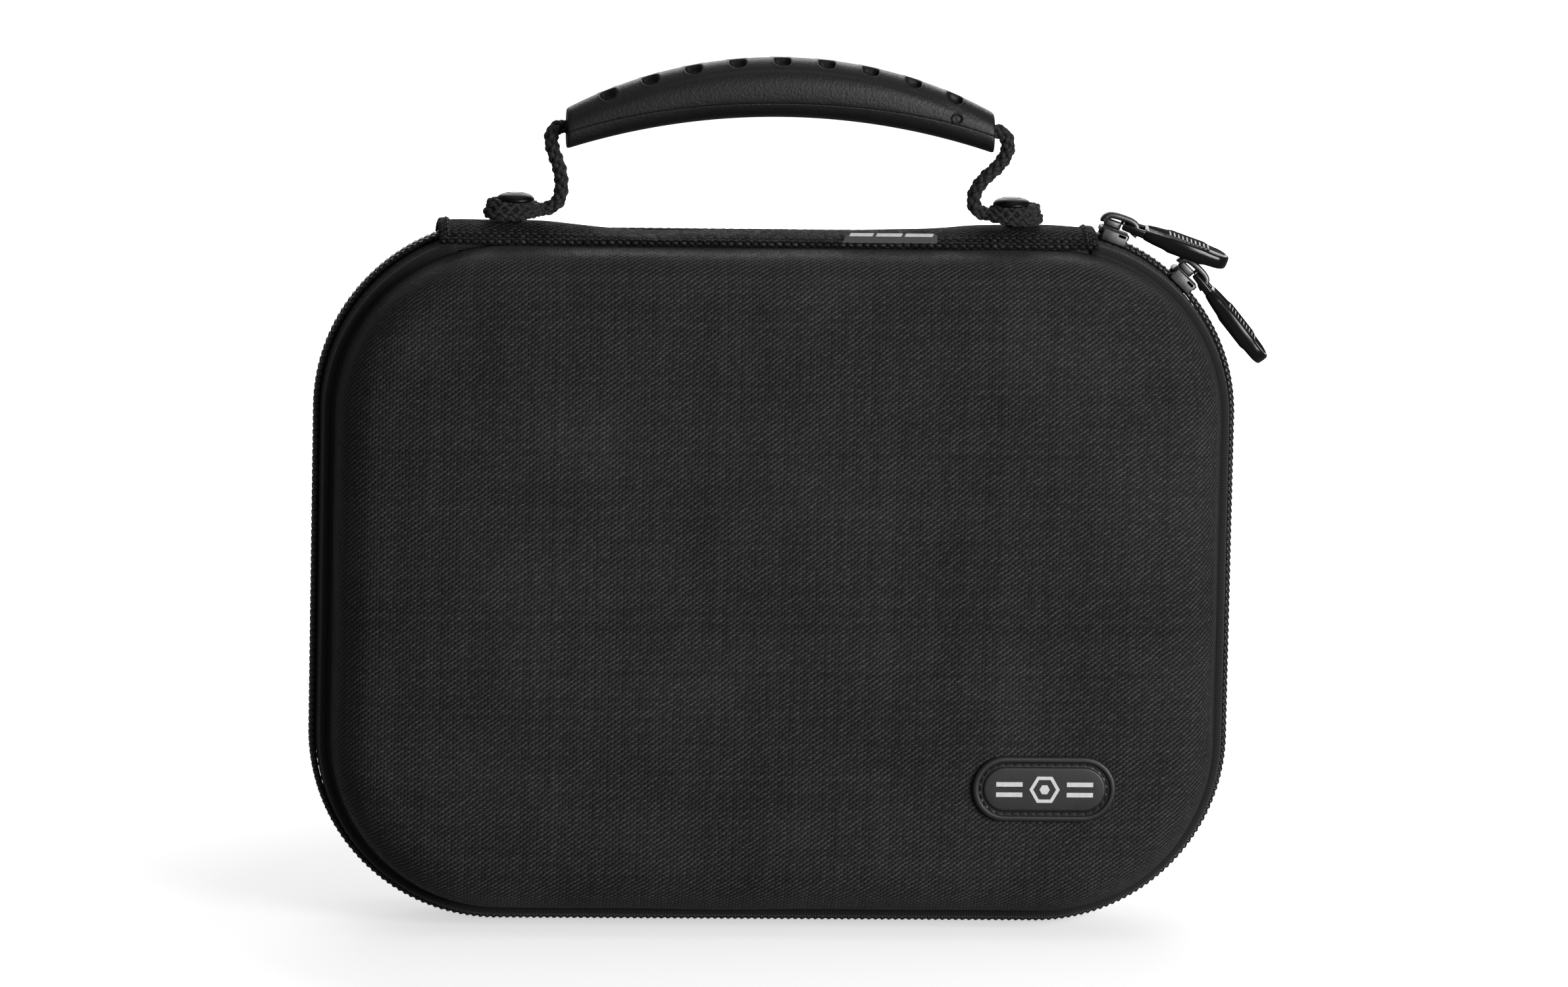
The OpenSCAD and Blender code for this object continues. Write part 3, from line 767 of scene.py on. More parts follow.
def arch_points(r, half, x0, x1, nx, ny, sag=1.0, ripple=0.0):
    amax = math.asin(half / r)
    x = np.linspace(x0, x1, nx)
    a = np.linspace(-amax, amax, ny)
    X, A = np.meshgrid(x, a, indexing="ij")
    R = r + ripple * noise2(X / 9, A * 5, 1.0) * np.cos(A / amax * np.pi / 2)
    fall = sag * spine_drop(X) * np.cos(A / amax * np.pi / 2)
    return np.stack([X, R * np.sin(A), ARCH_Z + R * np.cos(A) - fall], -1), np.stack([X, A * r], -1)


def arch_layer(name, r_out, r_in, half, x0, x1, mat, node, slot_name, nx=150, ny=22, ripple=0.0):
    top, uv = arch_points(r_out, half, x0, x1, nx, ny, 1.0, ripple)
    low, _ = arch_points(r_in, half, x0, x1, nx, ny, 1.0, 0.0)
    pts = np.concatenate([top, low[:, ::-1]], axis=1)
    uvs = np.concatenate([uv, uv[:, ::-1]], axis=1)
    b = Build()
    b.grid(pts, uvs, wrap_n=True, caps=False)
    n, m = pts.shape[1], pts.shape[0]
    for base in (0, (m - 1) * n):
        b.f.extend([[base + k, base + k + 1, base + n - 2 - k, base + n - 1 - k] for k in range(ny - 1)])
    b.piece(name, mat, "spine", node, slot_name)


arch_layer("spine_cloth", ARCH_R, ARCH_R - 0.95, ARCH_HALF, X0, X1, M["spine_fabric"], "spine_cover",
           "cover_fabric", 220, 30, 0.16)
arch_layer("spine_stiffener", ARCH_R - 1.05, ARCH_R - 2.25, 10.6, X0 + 3, X1 - 3, M["board"], "spine_board",
           "stiffener", 90, 16)
arch_layer("spine_lining_cloth", ARCH_R - 2.3, ARCH_R - 2.9, 11.4, X0 + 1, X1 - 1, M["lining"],
           "spine_lining", "lining_fabric", 90, 18)


def spine_hems():
    """Folded cloth ends of the spine, with the seam that holds each."""
    b = Build()
    for x0, x1, lift, half in ((X0 - 0.3, X0 + 3.4, 0.8, 12.8), (X1 - 4.0, X1 + 0.3, 0.6, 12.6)):
        n = 12
        top, uv = arch_points(ARCH_R + lift, half, x0, x1, n, 34, 1.0)
        low, _ = arch_points(ARCH_R - 0.3, half, x0, x1, n, 34, 1.0)
        edge = np.clip(np.minimum(np.linspace(0, 1, n), np.linspace(1, 0, n)) * 6, 0, 1) ** 0.5
        top = low + (top - low) * edge[:, None, None]
        pts = np.concatenate([top, low[:, ::-1]], axis=1)
        uvs = np.concatenate([uv[..., ::-1], uv[:, ::-1, ::-1]], axis=1)
        b.loft(pts, uvs)
    b.piece("spine_end_hems", M["spine_fabric"], "spine", None, "cover_fabric")
    st = Build()
    for xs, lift in ((X0 + 2.2, 0.83), (X1 - 2.8, 0.63)):
        amax = math.asin((ARCH_HALF - 0.6) / ARCH_R)
        n = 9
        for k in range(n):
            aa = np.linspace(-amax + 2 * amax * k / n + 0.02, -amax + 2 * amax * (k + 0.72) / n, 5)
            r = ARCH_R + lift + 0.1 * np.sin(np.linspace(0, np.pi, 5))
            fall = np.cos(aa / amax * np.pi / 2) * spine_drop(xs)
            path = np.column_stack([np.full(5, xs), r * np.sin(aa), ARCH_Z + r * np.cos(aa) - fall])
            st.loft(tube_points(path, 0.2, 6))
    st.piece("spine_stitches", M["thread"], "spine", None, "thread")


spine_hems()


def seam_strips():
    """Selvedge of the cloth turned under along each fold."""
    b = Build()
    x = np.linspace(X0 + 3.2, X1 - 3.6, 200)
    for sy in (-1, 1):
        rows = []
        for a, lift in ((27.5, -0.1), (28.0, 0.22), (30.0, 0.36), (33.0, 0.38), (36.0, 0.34), (38.0, 0.3),
                        (38.6, -0.2)):
            t = math.radians(a)
            drop = spine_drop(x) * math.cos(t / math.asin(ARCH_HALF / ARCH_R) * math.pi / 2)
            r = ARCH_R + lift + 0.05 * np.sin(x * 1.7 + a)
            rows.append(np.column_stack([x, sy * r * math.sin(t), ARCH_Z + r * math.cos(t) - drop]))
        pts = np.stack(rows, 1)
        uv = uv_grid(x, np.linspace(0, 4.2, 7))
        b.loft(pts, uv)
    b.piece("spine_selvedge", M["spine_fabric"], "spine", None, "cover_fabric")


seam_strips()


def make_piping():
    """The two sewn fold edges: a corded bead along each side of the spine."""
    b = Build()
    x = np.linspace(X0, X1, 260)
    for sy in (-1, 1):
        r = 1.02 + 0.05 * np.sin(x * 2.4) + 0.03 * np.sin(x * 5.1 + sy)
        path = np.column_stack([x, np.full(len(x), sy * FOLD_Y), np.full(len(x), FOLD_Z)])
        rings = tube_points(path, r, 12)
        uv = uv_grid(x, np.linspace(0, 4.6, 12))
        b.loft(rings, uv)
    b.piece("spine_corded_edges", M["spine_fabric"], "spine", "spine_piping", "binding_fabric")


make_piping()


# ---------- rounded blocks ----------

def soft_box(lo, hi, r, seg=3):
    """Points and faces of a box with rounded edges."""
    bm = bmesh.new()
    bmesh.ops.create_cube(bm, size=1.0)
    lo, hi = np.array(lo, float), np.array(hi, float)
    for v in bm.verts:
        v.co = Vector(((v.co[k] + 0.5) * (hi[k] - lo[k]) + lo[k]) for k in range(3))
    bmesh.ops.bevel(bm, geom=bm.edges[:], offset=r, segments=seg, profile=0.5, affect="EDGES")
    bm.verts.index_update()
    pts = np.array([v.co[:] for v in bm.verts])
    faces = [[v.index for v in f.verts] for f in bm.faces]
    bm.free()
    return pts, faces


# ---------- label ----------

def make_label():
    lo, hi = box_mm("spine_label")
    tilt = math.radians(43)
    mid = np.array([(lo[0] + hi[0]) / 2, (lo[1] + hi[1]) / 2 - 1.2, (lo[2] + hi[2]) / 2 - 1.2])
    half, tall = (hi[0] - lo[0]) / 2, 1.85

    def place(p):
        p = np.asarray(p, float)
        y = p[:, 1] * math.cos(tilt) - p[:, 2] * math.sin(tilt)
        z = p[:, 1] * math.sin(tilt) + p[:, 2] * math.cos(tilt)
        return np.column_stack([p[:, 0] + mid[0], y + mid[1], z + mid[2]])

    b = Build()
    rings = []
    for z, inn in ((-1.4, 0.25), (-1.2, 0.05), (0.0, 0.0), (0.85, 0.0), (1.1, 0.12), (1.2, 0.4)):
        xs, ys = half - inn, tall - inn
        slant = 1.6
        rings.append(place([(-xs, -ys, z), (-xs + 0.5, -ys, z), (xs - 0.5, -ys, z), (xs, -ys + 0.5, z),
                            (xs, ys - 0.5, z), (xs - 0.5, ys, z), (-xs + slant + 0.5, ys, z),
                            (-xs + slant - 0.3, ys - 0.4, z)]))
    b.loft(rings)
    b.piece("spine_label_moulding", M["label"], "spine", "spine_label", "label_rubber", sharp=True)
    s = Build()
    for x0, x1 in ((-half + 2.2, -half + 9.4), (-half + 9.9, -half + 17.7), (-half + 18.2, half - 1.0)):
        rings = []
        for z, inn in ((1.12, 0.0), (1.34, 0.0), (1.42, 0.12)):
            rings.append(place([(x0 + inn, tall - 1.25 + inn, z), (x1 - 0.5 - inn, tall - 1.25 + inn, z),
                                (x1 - inn, tall - 0.15 - inn, z), (x0 + 0.5 + inn, tall - 0.15 - inn, z)]))
        s.loft(rings)
    s.piece("label_light_bars", M["print"], "spine", "label_stripe", "light_print", sharp=True)


make_label()


# ---------- rivets, washers and rope ----------

def lathe(b, x, y, prof, n=40):
    a = turn(n)
    rings = [np.column_stack([x + r * np.cos(a), y + r * np.sin(a), np.full(n, z)]) for r, z in prof]
    b.loft(rings)


def make_rivets():
    top = rivet_box[1][2] - 0.75
    b = Build()
    for x in RIVETS:
        lathe(b, x, 0, [(0.3, 199.3), (1.95, 199.3), (2.0, 199.5), (2.0, top - 2.3), (5.2, top - 2.3),
                        (5.45, top - 2.1), (5.5, top - 1.8), (5.35, top - 1.4), (4.9, top - 0.85),
                        (4.2, top - 0.42), (3.5, top - 0.2),
                        (3.1, top - 0.12), (2.95, top - 0.2), (2.75, top - 0.34), (2.5, top - 0.34),
                        (2.3, top - 0.2), (1.9, top - 0.05), (1.2, top), (0.3, top)])
    b.piece("rivet_caps", M["rivet"], "spine", "rivets", "rivet_metal")


make_rivets()


def braid(b, path, scale=1.0, pitch=13.0, sides=8, step=0.42):
    """Eight strands crossing over and under round a path."""
    path = resample(np.asarray(path, float), step)
    s = arc_length(path)
    ups, across = path_frames(path)
    weave = np.cos(np.pi * 8 * s / pitch)
    for d in (1, -1):
        r = (1.16 + 0.3 * d * weave) * scale
        for k in range(4):
            a = d * 2 * np.pi * s / pitch + k * np.pi / 2
            centre = path + r[:, None] * (np.cos(a)[:, None] * ups + np.sin(a)[:, None] * across)
            rings = tube_points(centre, (0.74 + 0.07 * d * weave) * scale, sides)
            uv = uv_grid(s, np.linspace(0, 3.6, sides))
            b.loft(rings, uv)
    core = tube_points(path, 0.95 * scale, 8)
    b.loft(core)


ROPE_LEFT = [(-69.6, 206.8), (-67.6, 207.0), (-65.4, 207.8), (-63.7, 209.4), (-62.9, 212.2),
             (-62.9, 215.8), (-63.7, 219.6), (-65.1, 223.3), (-66.0, 227.0), (-65.3, 229.9),
             (-63.2, 230.9), (-60.4, 230.9)]
ROPE_RIGHT = [(60.0, 230.9), (62.9, 230.9), (65.0, 229.7), (66.0, 227.0), (65.3, 223.8), (62.9, 220.4),
              (59.5, 217.2), (57.1, 213.9), (56.3, 210.7), (57.2, 208.2), (59.0, 207.1), (61.2, 206.8)]


def make_rope():
    b = Build()
    for run in (ROPE_LEFT, ROPE_RIGHT):
        braid(b, smooth_curve([(x, 0, z) for x, z in run], 0.3), 1.0)
    b.piece("rope_braid", M["rope"], "handle", "handle_rope", "rope_cord", fix=False)
    for x, inward, name in ((RIVETS[0], 1, "rope_anchor_left"), (RIVETS[1], -1, "rope_anchor_right")):
        b = Build()
        lay = [(7.6, 0, 0.0), (5.2, -1.5, -0.5), (1.5, -3.0, -1.1), (-3.5, -3.1, -1.25), (-6.6, -1.6, -1.2),
               (-7.5, 0.2, -0.9), (-6.4, 2.2, -0.6), (-3.0, 3.2, -0.3), (1.2, 3.2, 0.1), (4.2, 2.0, 0.7),
               (5.0, 0, 1.1), (4.0, -2.1, 1.4), (0.5, -3.2, 1.6), (-3.5, -3.0, 1.65), (-6.2, -1.4, 1.6),
               (-6.8, 0.3, 1.6), (-5.6, 2.2, 1.6), (-2.5, 3.1, 1.6), (1.0, 3.0, 1.5), (2.6, 2.2, 1.3)]
        pts = [(x + inward * dx, dy, PIVOT_Z + dz) for dx, dy, dz in lay]
        path = smooth_curve(np.array(pts), 0.35)
        braid(b, path, 0.86, 12.0)
        b.piece(name + "_loop", M["rope"], "spine", name, "anchor_plastic", fix=False)


make_rope()


# ---------- grip ----------

GRIP_HALF = grip_hi[0]
GRIP_TOP = grip_hi[2]
RISE, BELLY, UNDER = 130.5, 197.0, 17.1
DEEP = grip_hi[1]
SLOT_STEP, SLOT_W = math.radians(5.65), 5.0


def grip_up(x):
    return GRIP_TOP - RISE + np.sqrt(RISE ** 2 - x * x)


def grip_down(x):
    return GRIP_TOP - UNDER - BELLY + np.sqrt(BELLY ** 2 - x * x)


def grip_line(x):
    return grip_down(x) + (0.28 + 0.2 * x * x / GRIP_HALF ** 2) * (grip_up(x) - grip_down(x))


def slot_depth(px, py, pz):
    """Depth of the finger pockets moulded into the top of the grip, one row each side of its crest."""
    ang = np.arctan2(px, pz - (GRIP_TOP - RISE))
    k = np.clip(np.round(ang / SLOT_STEP), -4, 4)
    d = np.abs((ang - k * SLOT_STEP) * RISE) - (SLOT_W / 2 - 1.9)
    e = np.abs(np.abs(py) - 3.7) - (2.8 - 1.9)
    sd = np.hypot(np.maximum(d, 0), np.maximum(e, 0)) + np.minimum(np.maximum(d, e), 0) - 1.9
    wall = np.clip(-sd / 0.5, 0, 1)
    wall = wall * wall * (3 - 2 * wall)
    rim = np.exp(-((sd - 0.35) / 0.4) ** 2) * 0.14
    shoulder = 0.22 * np.exp(-((np.abs(py) - 7.3) / 0.45) ** 2)
    return 2.1 * wall - rim + shoulder


def make_grip():
    nx = 420
    x = np.linspace(-GRIP_HALF, GRIP_HALF, nx)
    edge = GRIP_HALF - np.abs(x)
    shrink = 1 - 0.05 * np.exp(-edge / 0.3)
    top, low = grip_up(x), grip_down(x)
    mid, tall = (top + low) / 2, (top - low) / 2
    depth = (DEEP - 2.2 * x * x / GRIP_HALF ** 2) * shrink
    tall = tall * shrink
    line = grip_line(x)
    lift = np.clip((line - mid) / tall, -0.95, 0.95)
    bend = 0.82
    a0 = np.arcsin(np.sign(lift) * np.abs(lift) ** (1 / bend))
    for side, name in ((1, "grip_upper"), (-1, "grip_lower")):
        na = 150 if side > 0 else 48
        rings = []
        for i in range(nx):
            if side > 0:
                a = np.linspace(a0[i], np.pi - a0[i], na)
            else:
                a = np.linspace(np.pi - a0[i], 2 * np.pi + a0[i], na)
            c, s = np.cos(a), np.sin(a)
            y = depth[i] * np.sign(c) * np.abs(c) ** bend
            z = mid[i] + tall[i] * np.sign(s) * np.abs(s) ** bend
            ends = 0.12 * np.exp(-np.minimum(np.arange(na), np.arange(na)[::-1]) / 1.2)
            y, z = y * (1 - 0.05 * ends), z + side * 0.28 * ends
            if side > 0:
                cut = slot_depth(np.full(na, x[i]), y, z)
                n = np.stack([c, s], -1)
                n[:, 0] *= tall[i] / depth[i]
                n /= np.linalg.norm(n, axis=1)[:, None]
                down = cut * np.clip(s * 1.6, 0, 1)
                y, z = y - n[:, 0] * down * 0.15, z - down
            rings.append(np.column_stack([np.full(na, x[i]), y, z]))
        pts = np.array(rings)
        b = Build()
        across = np.linspace(0, 30, na)
        uv = uv_grid(x, across)
        b.loft(pts, uv)
        b.piece(name + "_moulding", M["grip"], "handle", name, "grip_rubber")
    # pin in a small counterbore on the front
    lo, hi = box_mm("grip_pin")
    cx, cz, y0 = (lo[0] + hi[0]) / 2, (lo[2] + hi[2]) / 2, lo[1] - 0.25
    b = Build()
    a = turn(24)
    rings = []
    for r, dy in ((1.75, 1.6), (1.75, -0.35), (1.6, -0.5), (1.35, -0.42), (1.2, 0.1), (0.7, 0.12),
                  (0.25, 0.05)):
        rings.append(np.column_stack([cx + r * np.cos(a), np.full(24, y0 + dy), cz + r * np.sin(a)]))
    b.loft(rings)
    b.piece("grip_pin_head", M["grip"], "handle", "grip_pin", "rivet_metal")


make_grip()


# ---------- badge ----------

badge_lo, badge_hi = box_mm("badge_patch")
BX, BZ = (badge_lo[0] + badge_hi[0]) / 2, (badge_lo[2] + badge_hi[2]) / 2
BW, BH = badge_hi[0] - badge_lo[0], badge_hi[2] - badge_lo[2]


def pill_ring(inset, w, n=24, run=10):
    r = BH / 2 - inset
    half = BW / 2 - BH / 2
    pts = []
    for sx, a0 in ((1, -90), (-1, 90)):
        for a in np.radians(np.linspace(a0, a0 + 180, n + 1)):
            pts.append((sx * half + r * math.cos(a), r * math.sin(a), w))
        for t in np.linspace(0, 1, run + 2)[1:-1]:
            pts.append((sx * half * (1 - 2 * t), sx * r, w))
    p = np.array(pts)
    p[:, 0] += BX
    p[:, 1] += BZ
    return front(p)


def make_badge():
    w0 = HALF_D + 0.02
    b = Build()
    prof = [(0.0, 0.0), (0.0, 1.1), (0.12, 1.5), (0.4, 1.8), (0.75, 1.9), (1.35, 1.9), (1.6, 1.8),
            (1.75, 1.5), (1.85, 1.3), (3.0, 1.3), (3.1, 1.45), (3.2, 1.72), (3.45, 1.86), (3.8, 1.9),
            (6.5, 1.9)]
    b.loft([pill_ring(i, w0 + w) for i, w in prof])
    b.piece("badge_moulding", M["badge"], "front_half", "badge_patch", "badge_rubber")
    t = Build()
    inset, half = 2.4, BW / 2 - BH / 2
    r = BH / 2 - inset
    total = 2 * math.pi * r + 4 * half
    n = 38

    def on_pill(s):
        s = s % total
        if s < 2 * half:
            return -half + s, r
        s -= 2 * half
        if s < math.pi * r:
            a = math.pi / 2 - s / r
            return half + r * math.cos(a), r * math.sin(a)
        s -= math.pi * r
        if s < 2 * half:
            return half - s, -r
        s -= 2 * half
        a = -math.pi / 2 - s / r
        return -half + r * math.cos(a), r * math.sin(a)

    for k in range(n):
        pts = []
        for q in np.linspace(0, total / n * 0.7, 6):
            x, z = on_pill(k * total / n + q)
            lift = 1.42 + 0.2 * math.sin(math.pi * q / (total / n * 0.7))
            pts.append((BX + x, BZ + z, w0 + lift))
        t.loft(tube_points(front(np.array(pts)), 0.24, 8))
    t.piece("badge_thread", M["thread"], "front_half", "badge_stitches", "thread")


make_badge()


# ---------- zip sliders and pulls ----------

def zip_frame(joint):
    """Origin on the coil line under the slider, with x along the zip and z outward."""
    p = np.array(JOINT[joint]["pos_m"]) / MM
    d = p - np.array([CX, 0, CZ_TOP])
    a = math.atan2(d[2], d[0]) + math.atan2(2.5, CORNER_R + 4.2)
    out = np.array([math.cos(a), 0, math.sin(a)])
    tan = np.array([math.sin(a), 0, -math.cos(a)])
    return np.array([CX, 0, CZ_TOP]) + CORNER_R * out, tan, out, p


def placer(origin, tan, out):
    def place(p):
        p = np.asarray(p, float)
        return origin + p[..., :1] * tan + p[..., 1:2] * np.array([0, 1, 0]) + p[..., 2:] * out
    return place


def plate_ring(grow, z, half):
    pts = np.array([(-4.2, -half + 1.1), (-1.6, -half + 0.55), (1.0, -half), (3.2, -half),
                    (3.8, -half + 0.25), (4.2, -half + 0.8), (4.2, half - 0.8), (3.8, half - 0.25),
                    (3.2, half), (1.0, half),
                    (-1.6, half - 0.55), (-4.2, half - 1.1), (-4.35, half - 2.0), (-4.35, -half + 2.0)])
    c = pts.mean(0)
    d = pts - c
    d *= (1 + grow / np.linalg.norm(d, axis=1))[:, None]
    return np.column_stack([c + d, np.full(len(pts), z)])


LOCK_END = 1.3


def make_slider(n):
    origin, tan, out, pivot = zip_frame(f"pull_{n}_flip")
    place = placer(origin, tan, out)
    b = Build()

    def plate(z0, z1, half):
        rings = [plate_ring(grow, z, half) for grow, z in (
            (-0.45, z0), (-0.1, z0 + 0.12), (0, z0 + 0.35), (0, z1 - 0.45), (-0.12, z1 - 0.15), (-0.5, z1))]
        b.loft([place(r) for r in rings])

    plate(0.35, 2.0, 5.2)
    plate(-4.6, -3.4, 4.2)
    for s in (-1, 1):
        b.block((-3.7, 4.2 if s > 0 else -5.2, -1.7), (3.9, 5.2 if s > 0 else -4.2, 1.9), 0.35, place)
    b.block((0, -0.5, -3.8), (3.4, 0.5, 0.6), 0.2, place, 2)
    # raised rail along the plate's top and the lock housing on it, under the crown
    for lo, hi, r in (((-3.9, -2.1, 1.9), (3.9, 2.1, 2.28), 0.18),
                      ((-3.7, -1.25, 2.2), (LOCK_END, 1.25, 4.5), 0.6)):
        b.block(lo, hi, r, place)
    b.piece(f"slider_{n}_casting", M["gunmetal"], f"slider_{n}", f"slider_{n}_body", "slider_metal")
    # crown: a thick hooked strap, sprung open at its free end
    path = smooth_curve([(5.5, 2.0), (5.9, 3.2), (5.8, 4.4), (5.1, 5.35), (3.95, 5.8), (2.5, 5.95),
                         (0.5, 5.95), (-1.4, 5.8), (-2.8, 5.45), (-3.7, 4.7), (-4.1, 3.7),
                         (-4.05, 3.1)], 0.35)
    tt = np.gradient(path, axis=0)
    tt /= np.linalg.norm(tt, axis=1)[:, None]
    nn = np.column_stack([-tt[:, 1], tt[:, 0]])
    m = len(path)
    f = np.linspace(0, 1, m)
    thick = 0.95 - 0.1 * np.clip((f - 0.9) / 0.1, 0, 1)
    wide = 1.7 - 0.15 * np.clip((f - 0.9) / 0.1, 0, 1)
    rings = []
    a = turn(20)
    ca, sa = np.cos(a), np.sin(a)
    for k in range(m):
        yy = wide[k] * np.sign(ca) * np.abs(ca) ** 0.45
        hh = thick[k] * np.sign(sa) * np.abs(sa) ** 0.6
        rings.append(np.column_stack([path[k, 0] + nn[k, 0] * hh, yy, path[k, 1] + nn[k, 1] * hh]))
    b = Build()
    b.loft([place(r) for r in rings])
    b.piece(f"slider_{n}_hook", M["chrome_dark"], f"slider_{n}", f"slider_{n}_crown", "slider_metal")
    return origin, tan, out, pivot


def make_pull(n, tan, out, pivot, droop):
    c, s = math.cos(droop), math.sin(droop)
    tan, out = tan * c - out * s, out * c + tan * s
    straight = placer(pivot, tan, out)
    ct, st = math.cos(PULL_TWIST), math.sin(PULL_TWIST)

    def place(p):
        p = np.asarray(p, float)
        x, y, z = p[..., 0], p[..., 1], p[..., 2]
        return straight(np.stack([x, y * ct - z * st, z * ct + y * st], -1))

    # link: a flat-armed fork that passes through the crown and is moulded into the tab
    b = Build()
    bar = tube_points(place(np.array([(0, y, 0) for y in np.linspace(-3.5, 3.5, 12)])), 0.72, 12)
    b.loft(bar)
    for sy in (-1, 1):
        pts, faces = soft_box((-1.15, 2.25, -1.1), (8.6, 3.75, 1.1), 0.42, 3)
        pts[:, 2] *= np.clip(0.82 + 0.05 * pts[:, 0], 0.8, 1.2)
        b.add(place(pts * np.array([1, sy, 1])), faces)
    b.piece(f"pull_{n}_fork", M["pull"], f"pull_{n}", f"pull_{n}_link", "slider_metal")
    # tab: long pill with a shouldered head, raised rim and ribbed panel
    x0, length, half_w, half_t = 5.6, 26.0, 4.6, 1.95

    def outline(inset, count=14):
        r = half_w - inset
        pts = [(x0 + inset, -r * 0.82), (x0 + inset + 0.8, -r * 0.9), (x0 + 3.4, -r), ]
        pts += [(x0 + q, -(r + 0.5 * bump_w(q))) for q in (6.5, 8.0, 13.0, 18.0, 19.4)]
        a = np.radians(np.linspace(-90, 90, count))
        cx = x0 + length - half_w
        pts += [(cx + r * math.cos(t), r * math.sin(t)) for t in a]
        pts += [(x0 + q, r + 0.5 * bump_w(q)) for q in (19.4, 18.0, 13.0, 8.0, 6.5)]
        pts += [(x0 + 3.4, r), (x0 + inset + 0.8, r * 0.9), (x0 + inset, r * 0.82)]
        return np.array(pts)

    def bump_w(q):
        return 1.0 if 7.5 < q < 18.5 else 0.35

    def layer(inset, z):
        o = outline(inset)
        q = o[:, 0] - x0
        swell = np.interp(q, [-1, 0, 3, 6.4, 7.4, 18.6, 19.6, 23, 27],
                          [0.7, 0.75, 0.9, 1.02, 1.2, 1.2, 1.02, 1.0, 0.9])
        return place(np.column_stack([o, z * swell]))

    b = Build()
    # the underside is grooved, so that it can pass over the other slider's crown
    prof = [(2.3, 0.45), (2.3, -half_t + 0.3), (2.1, -half_t + 0.05), (0.75, -half_t),
            (0.35, -half_t + 0.12), (0.08, -half_t + 0.5), (0.0, -0.5), (0.0, 0.5),
            (0.08, half_t - 0.5), (0.35, half_t - 0.12),
            (0.75, half_t), (1.1, half_t - 0.1), (1.35, half_t - 0.45)]
    b.loft([layer(i, z) for i, z in prof])
    # ribs across the panel between the rims
    for q in np.arange(7.6, 19.4, 1.3):
        b.block((x0 + q - 0.32, -2.9, 1.2), (x0 + q + 0.32, 2.9, half_t * 1.2 - 0.1), 0.2, place, 2)
    b.piece(f"pull_{n}_grip_tab", M["pull"], f"pull_{n}", f"pull_{n}_tab", "pull_rubber")


PULL_2_DROOP = math.radians(6.5)
PULL_TWIST = math.radians(9.0)
for n, droop in ((1, 0.0), (2, PULL_2_DROOP)):
    origin, tan, out, pivot = make_slider(n)
    make_pull(n, tan, out, pivot, droop)


# ---------- foam ----------

def make_foam_pad(node, name, side, mat, crates=0.0):
    """A pad with soft edges; crates gives its inner face egg-crate peaks of that height."""
    lo, hi = box_mm(node)
    hx, hz = (hi[0] - lo[0]) / 2, (hi[2] - lo[2]) / 2
    w_in, w_out = sorted((abs(lo[1]), abs(hi[1])))
    rings = []
    count = (16, 110) if crates else (10, 14)
    for inset, w in ((3.0, w_out), (0.9, w_out), (0.25, w_out - 0.5), (0.0, w_out - 1.4),
                     (0.0, w_in + 2.2 + crates), (0.3, w_in + 1.1 + crates), (1.1, w_in + 0.35 + crates),
                     (2.4, w_in + crates)):
        rings.append(loop_at(rounded_loop(hx - inset, hz - inset, max(30 - inset, 2), *count)[0], w))
    steps = np.arange(4.5, hz - 1, 1.5 if crates else 9.0)
    for inset in steps:
        p, _ = rounded_loop(hx - inset, hz - inset, max(30 - inset, 1.5), *count)
        w = np.full(len(p), w_in + crates)
        if crates:
            fade = min((inset - 4) / 10, 1)
            z0 = p[:, 1] - CASE_H / 2
            w = w - crates * fade * (0.5 + 0.5 * np.cos(np.pi * p[:, 0] / 11) * np.cos(np.pi * z0 / 11))
        rings.append(np.column_stack([p, w]))
    b = Build()
    b.loft([SIDES[side](r) for r in rings])
    ob = b.piece(name, mat, side + "_half", node, "foam")
    return ob


make_foam_pad("lid_foam", "lid_foam_crate", "front", M["foam_light"], 4.0)
make_foam_pad("tray_pad", "tray_pad_sheet", "back", M["foam_light"])


def make_tray():
    lo, hi = box_mm("tray_frame")
    hx, hz = (hi[0] - lo[0]) / 2, (hi[2] - lo[2]) / 2
    w0, w1 = sorted((abs(lo[1]), abs(hi[1])))
    ix = box_mm("tray_long_dividers")[1][0] + 0.1
    iz = hz - 13
    rings = []
    for t, w in ((0, w1), (0, w0 + 1.6), (0.3, w0 + 0.7), (0.8, w0 + 0.2), (1.6, w0)):
        rings.append((hx - t, hz - t, 33 - t, w))
    for t, w in ((1.6, w0), (0.8, w0 + 0.2), (0.3, w0 + 0.7), (0, w0 + 1.6), (0, w1)):
        rings.append((ix + t, iz + t, 2 + t, w))
    b = Build()
    loops = [back(loop_at(rounded_loop(x, z, r)[0], w)) for x, z, r, w in rings]
    b.grid(np.array(loops), None, wrap_n=True, wrap_m=True)
    ob = b.piece("tray_frame_foam", M["foam"], "back_half", "tray_frame", "foam")
    for kind in ("long", "short"):
        node, name = f"tray_{kind}_dividers", f"tray_{kind}_walls"
        cad = frame["nodes"][node]
        bm = bmesh.new()
        bm.from_mesh(cad.data)
        bmesh.ops.remove_doubles(bm, verts=bm.verts, dist=1e-5)
        seen, b = set(), Build()
        for v0 in bm.verts:
            if v0 in seen:
                continue
            stack, part = [v0], []
            while stack:
                v = stack.pop()
                if v in seen:
                    continue
                seen.add(v)
                part.append(v.co / MM)
                stack.extend(e.other_vert(v) for e in v.link_edges)
            p = np.array(part)
            pts, faces = soft_box(p.min(0), p.max(0), 1.1, 3)
            b.add(pts, faces)
        bm.free()
        ob = b.piece(name, M["foam"], "back_half", node, "foam")


make_tray()


# ---------- finishes for the CAD nodes that stay ----------

KEPT = {"front_shell": "shell", "back_shell": "shell", "rivet_washers": "gunmetal", "badge_mark": "print"}
for node, key in KEPT.items():
    ob = frame["nodes"][node]
    for slot in ob.material_slots:
        slot.material = M[key]
    if not ob.data.materials:
        ob.data.materials.append(M[key])


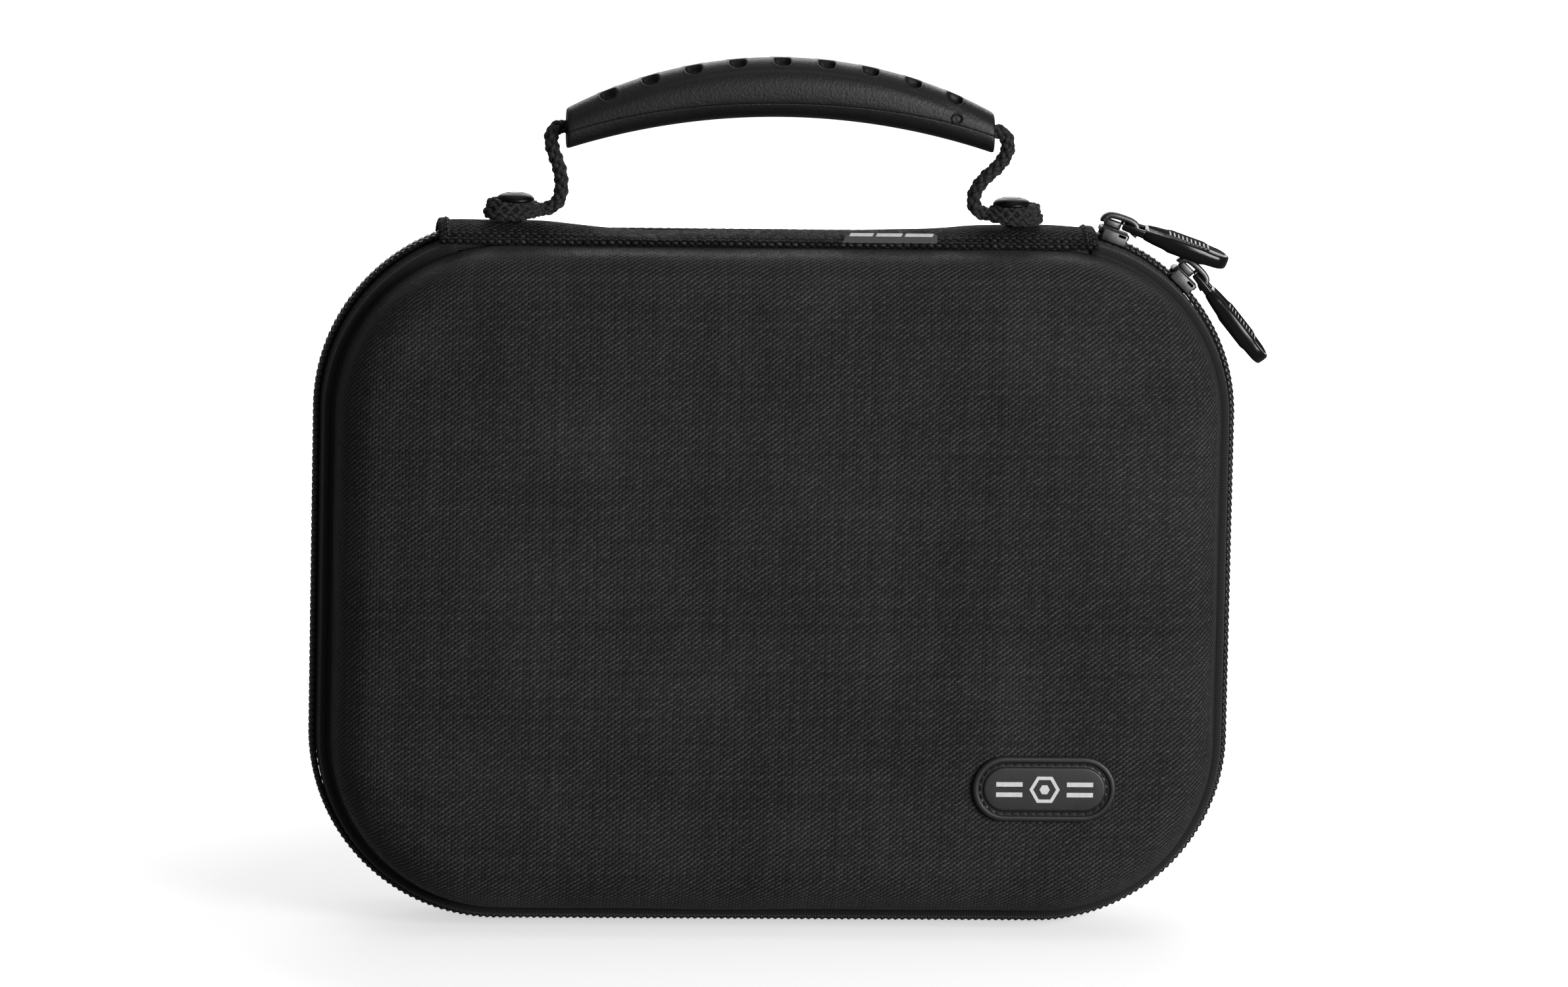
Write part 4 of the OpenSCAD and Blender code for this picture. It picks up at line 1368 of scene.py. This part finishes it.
# ---------- floor, light and camera ----------

def stage():
    me = bpy.data.meshes.new("floor")
    s = 14.0
    me.from_pydata([(x, y, -0.0002) for x, y in ((-s, -s), (s, -s), (s, s), (-s, s))], [], [(0, 1, 2, 3)])
    ob = bpy.data.objects.new("floor", me)
    bpy.context.scene.collection.objects.link(ob)
    k = Mat("floor_white", Roughness=0.9, Specular_IOR_Level=0.1, Emission_Color=(1, 1, 1, 1))
    co = k.coords()
    xyz = k.split(co)
    # the floor glows, weakly near the case and fully further out: painted light on the floor, with painted
    # shade round the case
    far = k.math("SQRT", xyz[0] ** 2.0 + xyz[1] ** 2.0)
    k.link(k.span(far, 0.16, 0.44, 0.56, 1.12), k.bsdf.inputs["Emission Strength"])
    k.colour(k.mix(k.noise(co, 3.0), (0.93, 0.93, 0.93), (0.95, 0.95, 0.95)))
    me.materials.append(k.m)
    ob.visible_diffuse = ob.visible_glossy = False


stage()


def light(name, power, size, at, look=(0, 0, 0.12)):
    li = bpy.data.lights.new(name, "AREA")
    li.energy, li.shape, li.size = power, "SQUARE", size
    ob = bpy.data.objects.new(name, li)
    ob.location = at
    ob.rotation_euler = (Vector(look) - Vector(at)).to_track_quat("-Z", "Y").to_euler()
    bpy.context.scene.collection.objects.link(ob)


light("key_right", 9.5, 0.5, (0.6, -0.86, 0.26), (0.03, 0, 0.11))
light("top_soft", 5, 1.8, (0.15, 0.1, 1.8))
light("back_soft", 10, 1.2, (0.15, 1.6, 0.85))

world = bpy.data.worlds.new("studio_white")
bpy.context.scene.world = world
world.use_nodes = True
wt = world.node_tree
bg = next(n for n in wt.nodes if n.type == "BACKGROUND")
bg.inputs["Color"].default_value = (1, 1, 1, 1)
seen = wt.nodes.new("ShaderNodeBackground")
seen.inputs["Color"].default_value = (1, 1, 1, 1)
seen.inputs["Strength"].default_value = 1.05
bg.inputs["Strength"].default_value = 0.13
rays = wt.nodes.new("ShaderNodeLightPath")
blend = wt.nodes.new("ShaderNodeMixShader")
wt.links.new(rays.outputs["Is Camera Ray"], blend.inputs[0])
wt.links.new(bg.outputs[0], blend.inputs[1])
wt.links.new(seen.outputs[0], blend.inputs[2])
wt.links.new(blend.outputs[0], next(n for n in wt.nodes if n.type == "OUTPUT_WORLD").inputs["Surface"])

scene = bpy.context.scene
scene.view_settings.view_transform = "Standard"
scene.view_settings.look = "None"

AZ, EL, ROLL = math.radians(-4.6), math.radians(8.5), math.radians(-1.15)
FRAME_W = 0.4535
DIST = 3.4
cam_data = bpy.data.cameras.new("camera")
cam = bpy.data.objects.new("camera", cam_data)
scene.collection.objects.link(cam)
cam_data.sensor_width = 36
cam_data.lens = 36 * DIST / FRAME_W
look_at = Vector((0.0032, 0, 0.1248))
away = Vector((math.sin(AZ) * math.cos(EL), -math.cos(AZ) * math.cos(EL), math.sin(EL)))
cam.location = look_at + away * DIST
rot = (-away).to_track_quat("-Z", "Y").to_matrix().to_4x4()
cam.matrix_world = Matrix.Translation(cam.location) @ rot @ Matrix.Rotation(-ROLL, 4, "Z")
scene.camera = cam

bpy.context.view_layer.update()
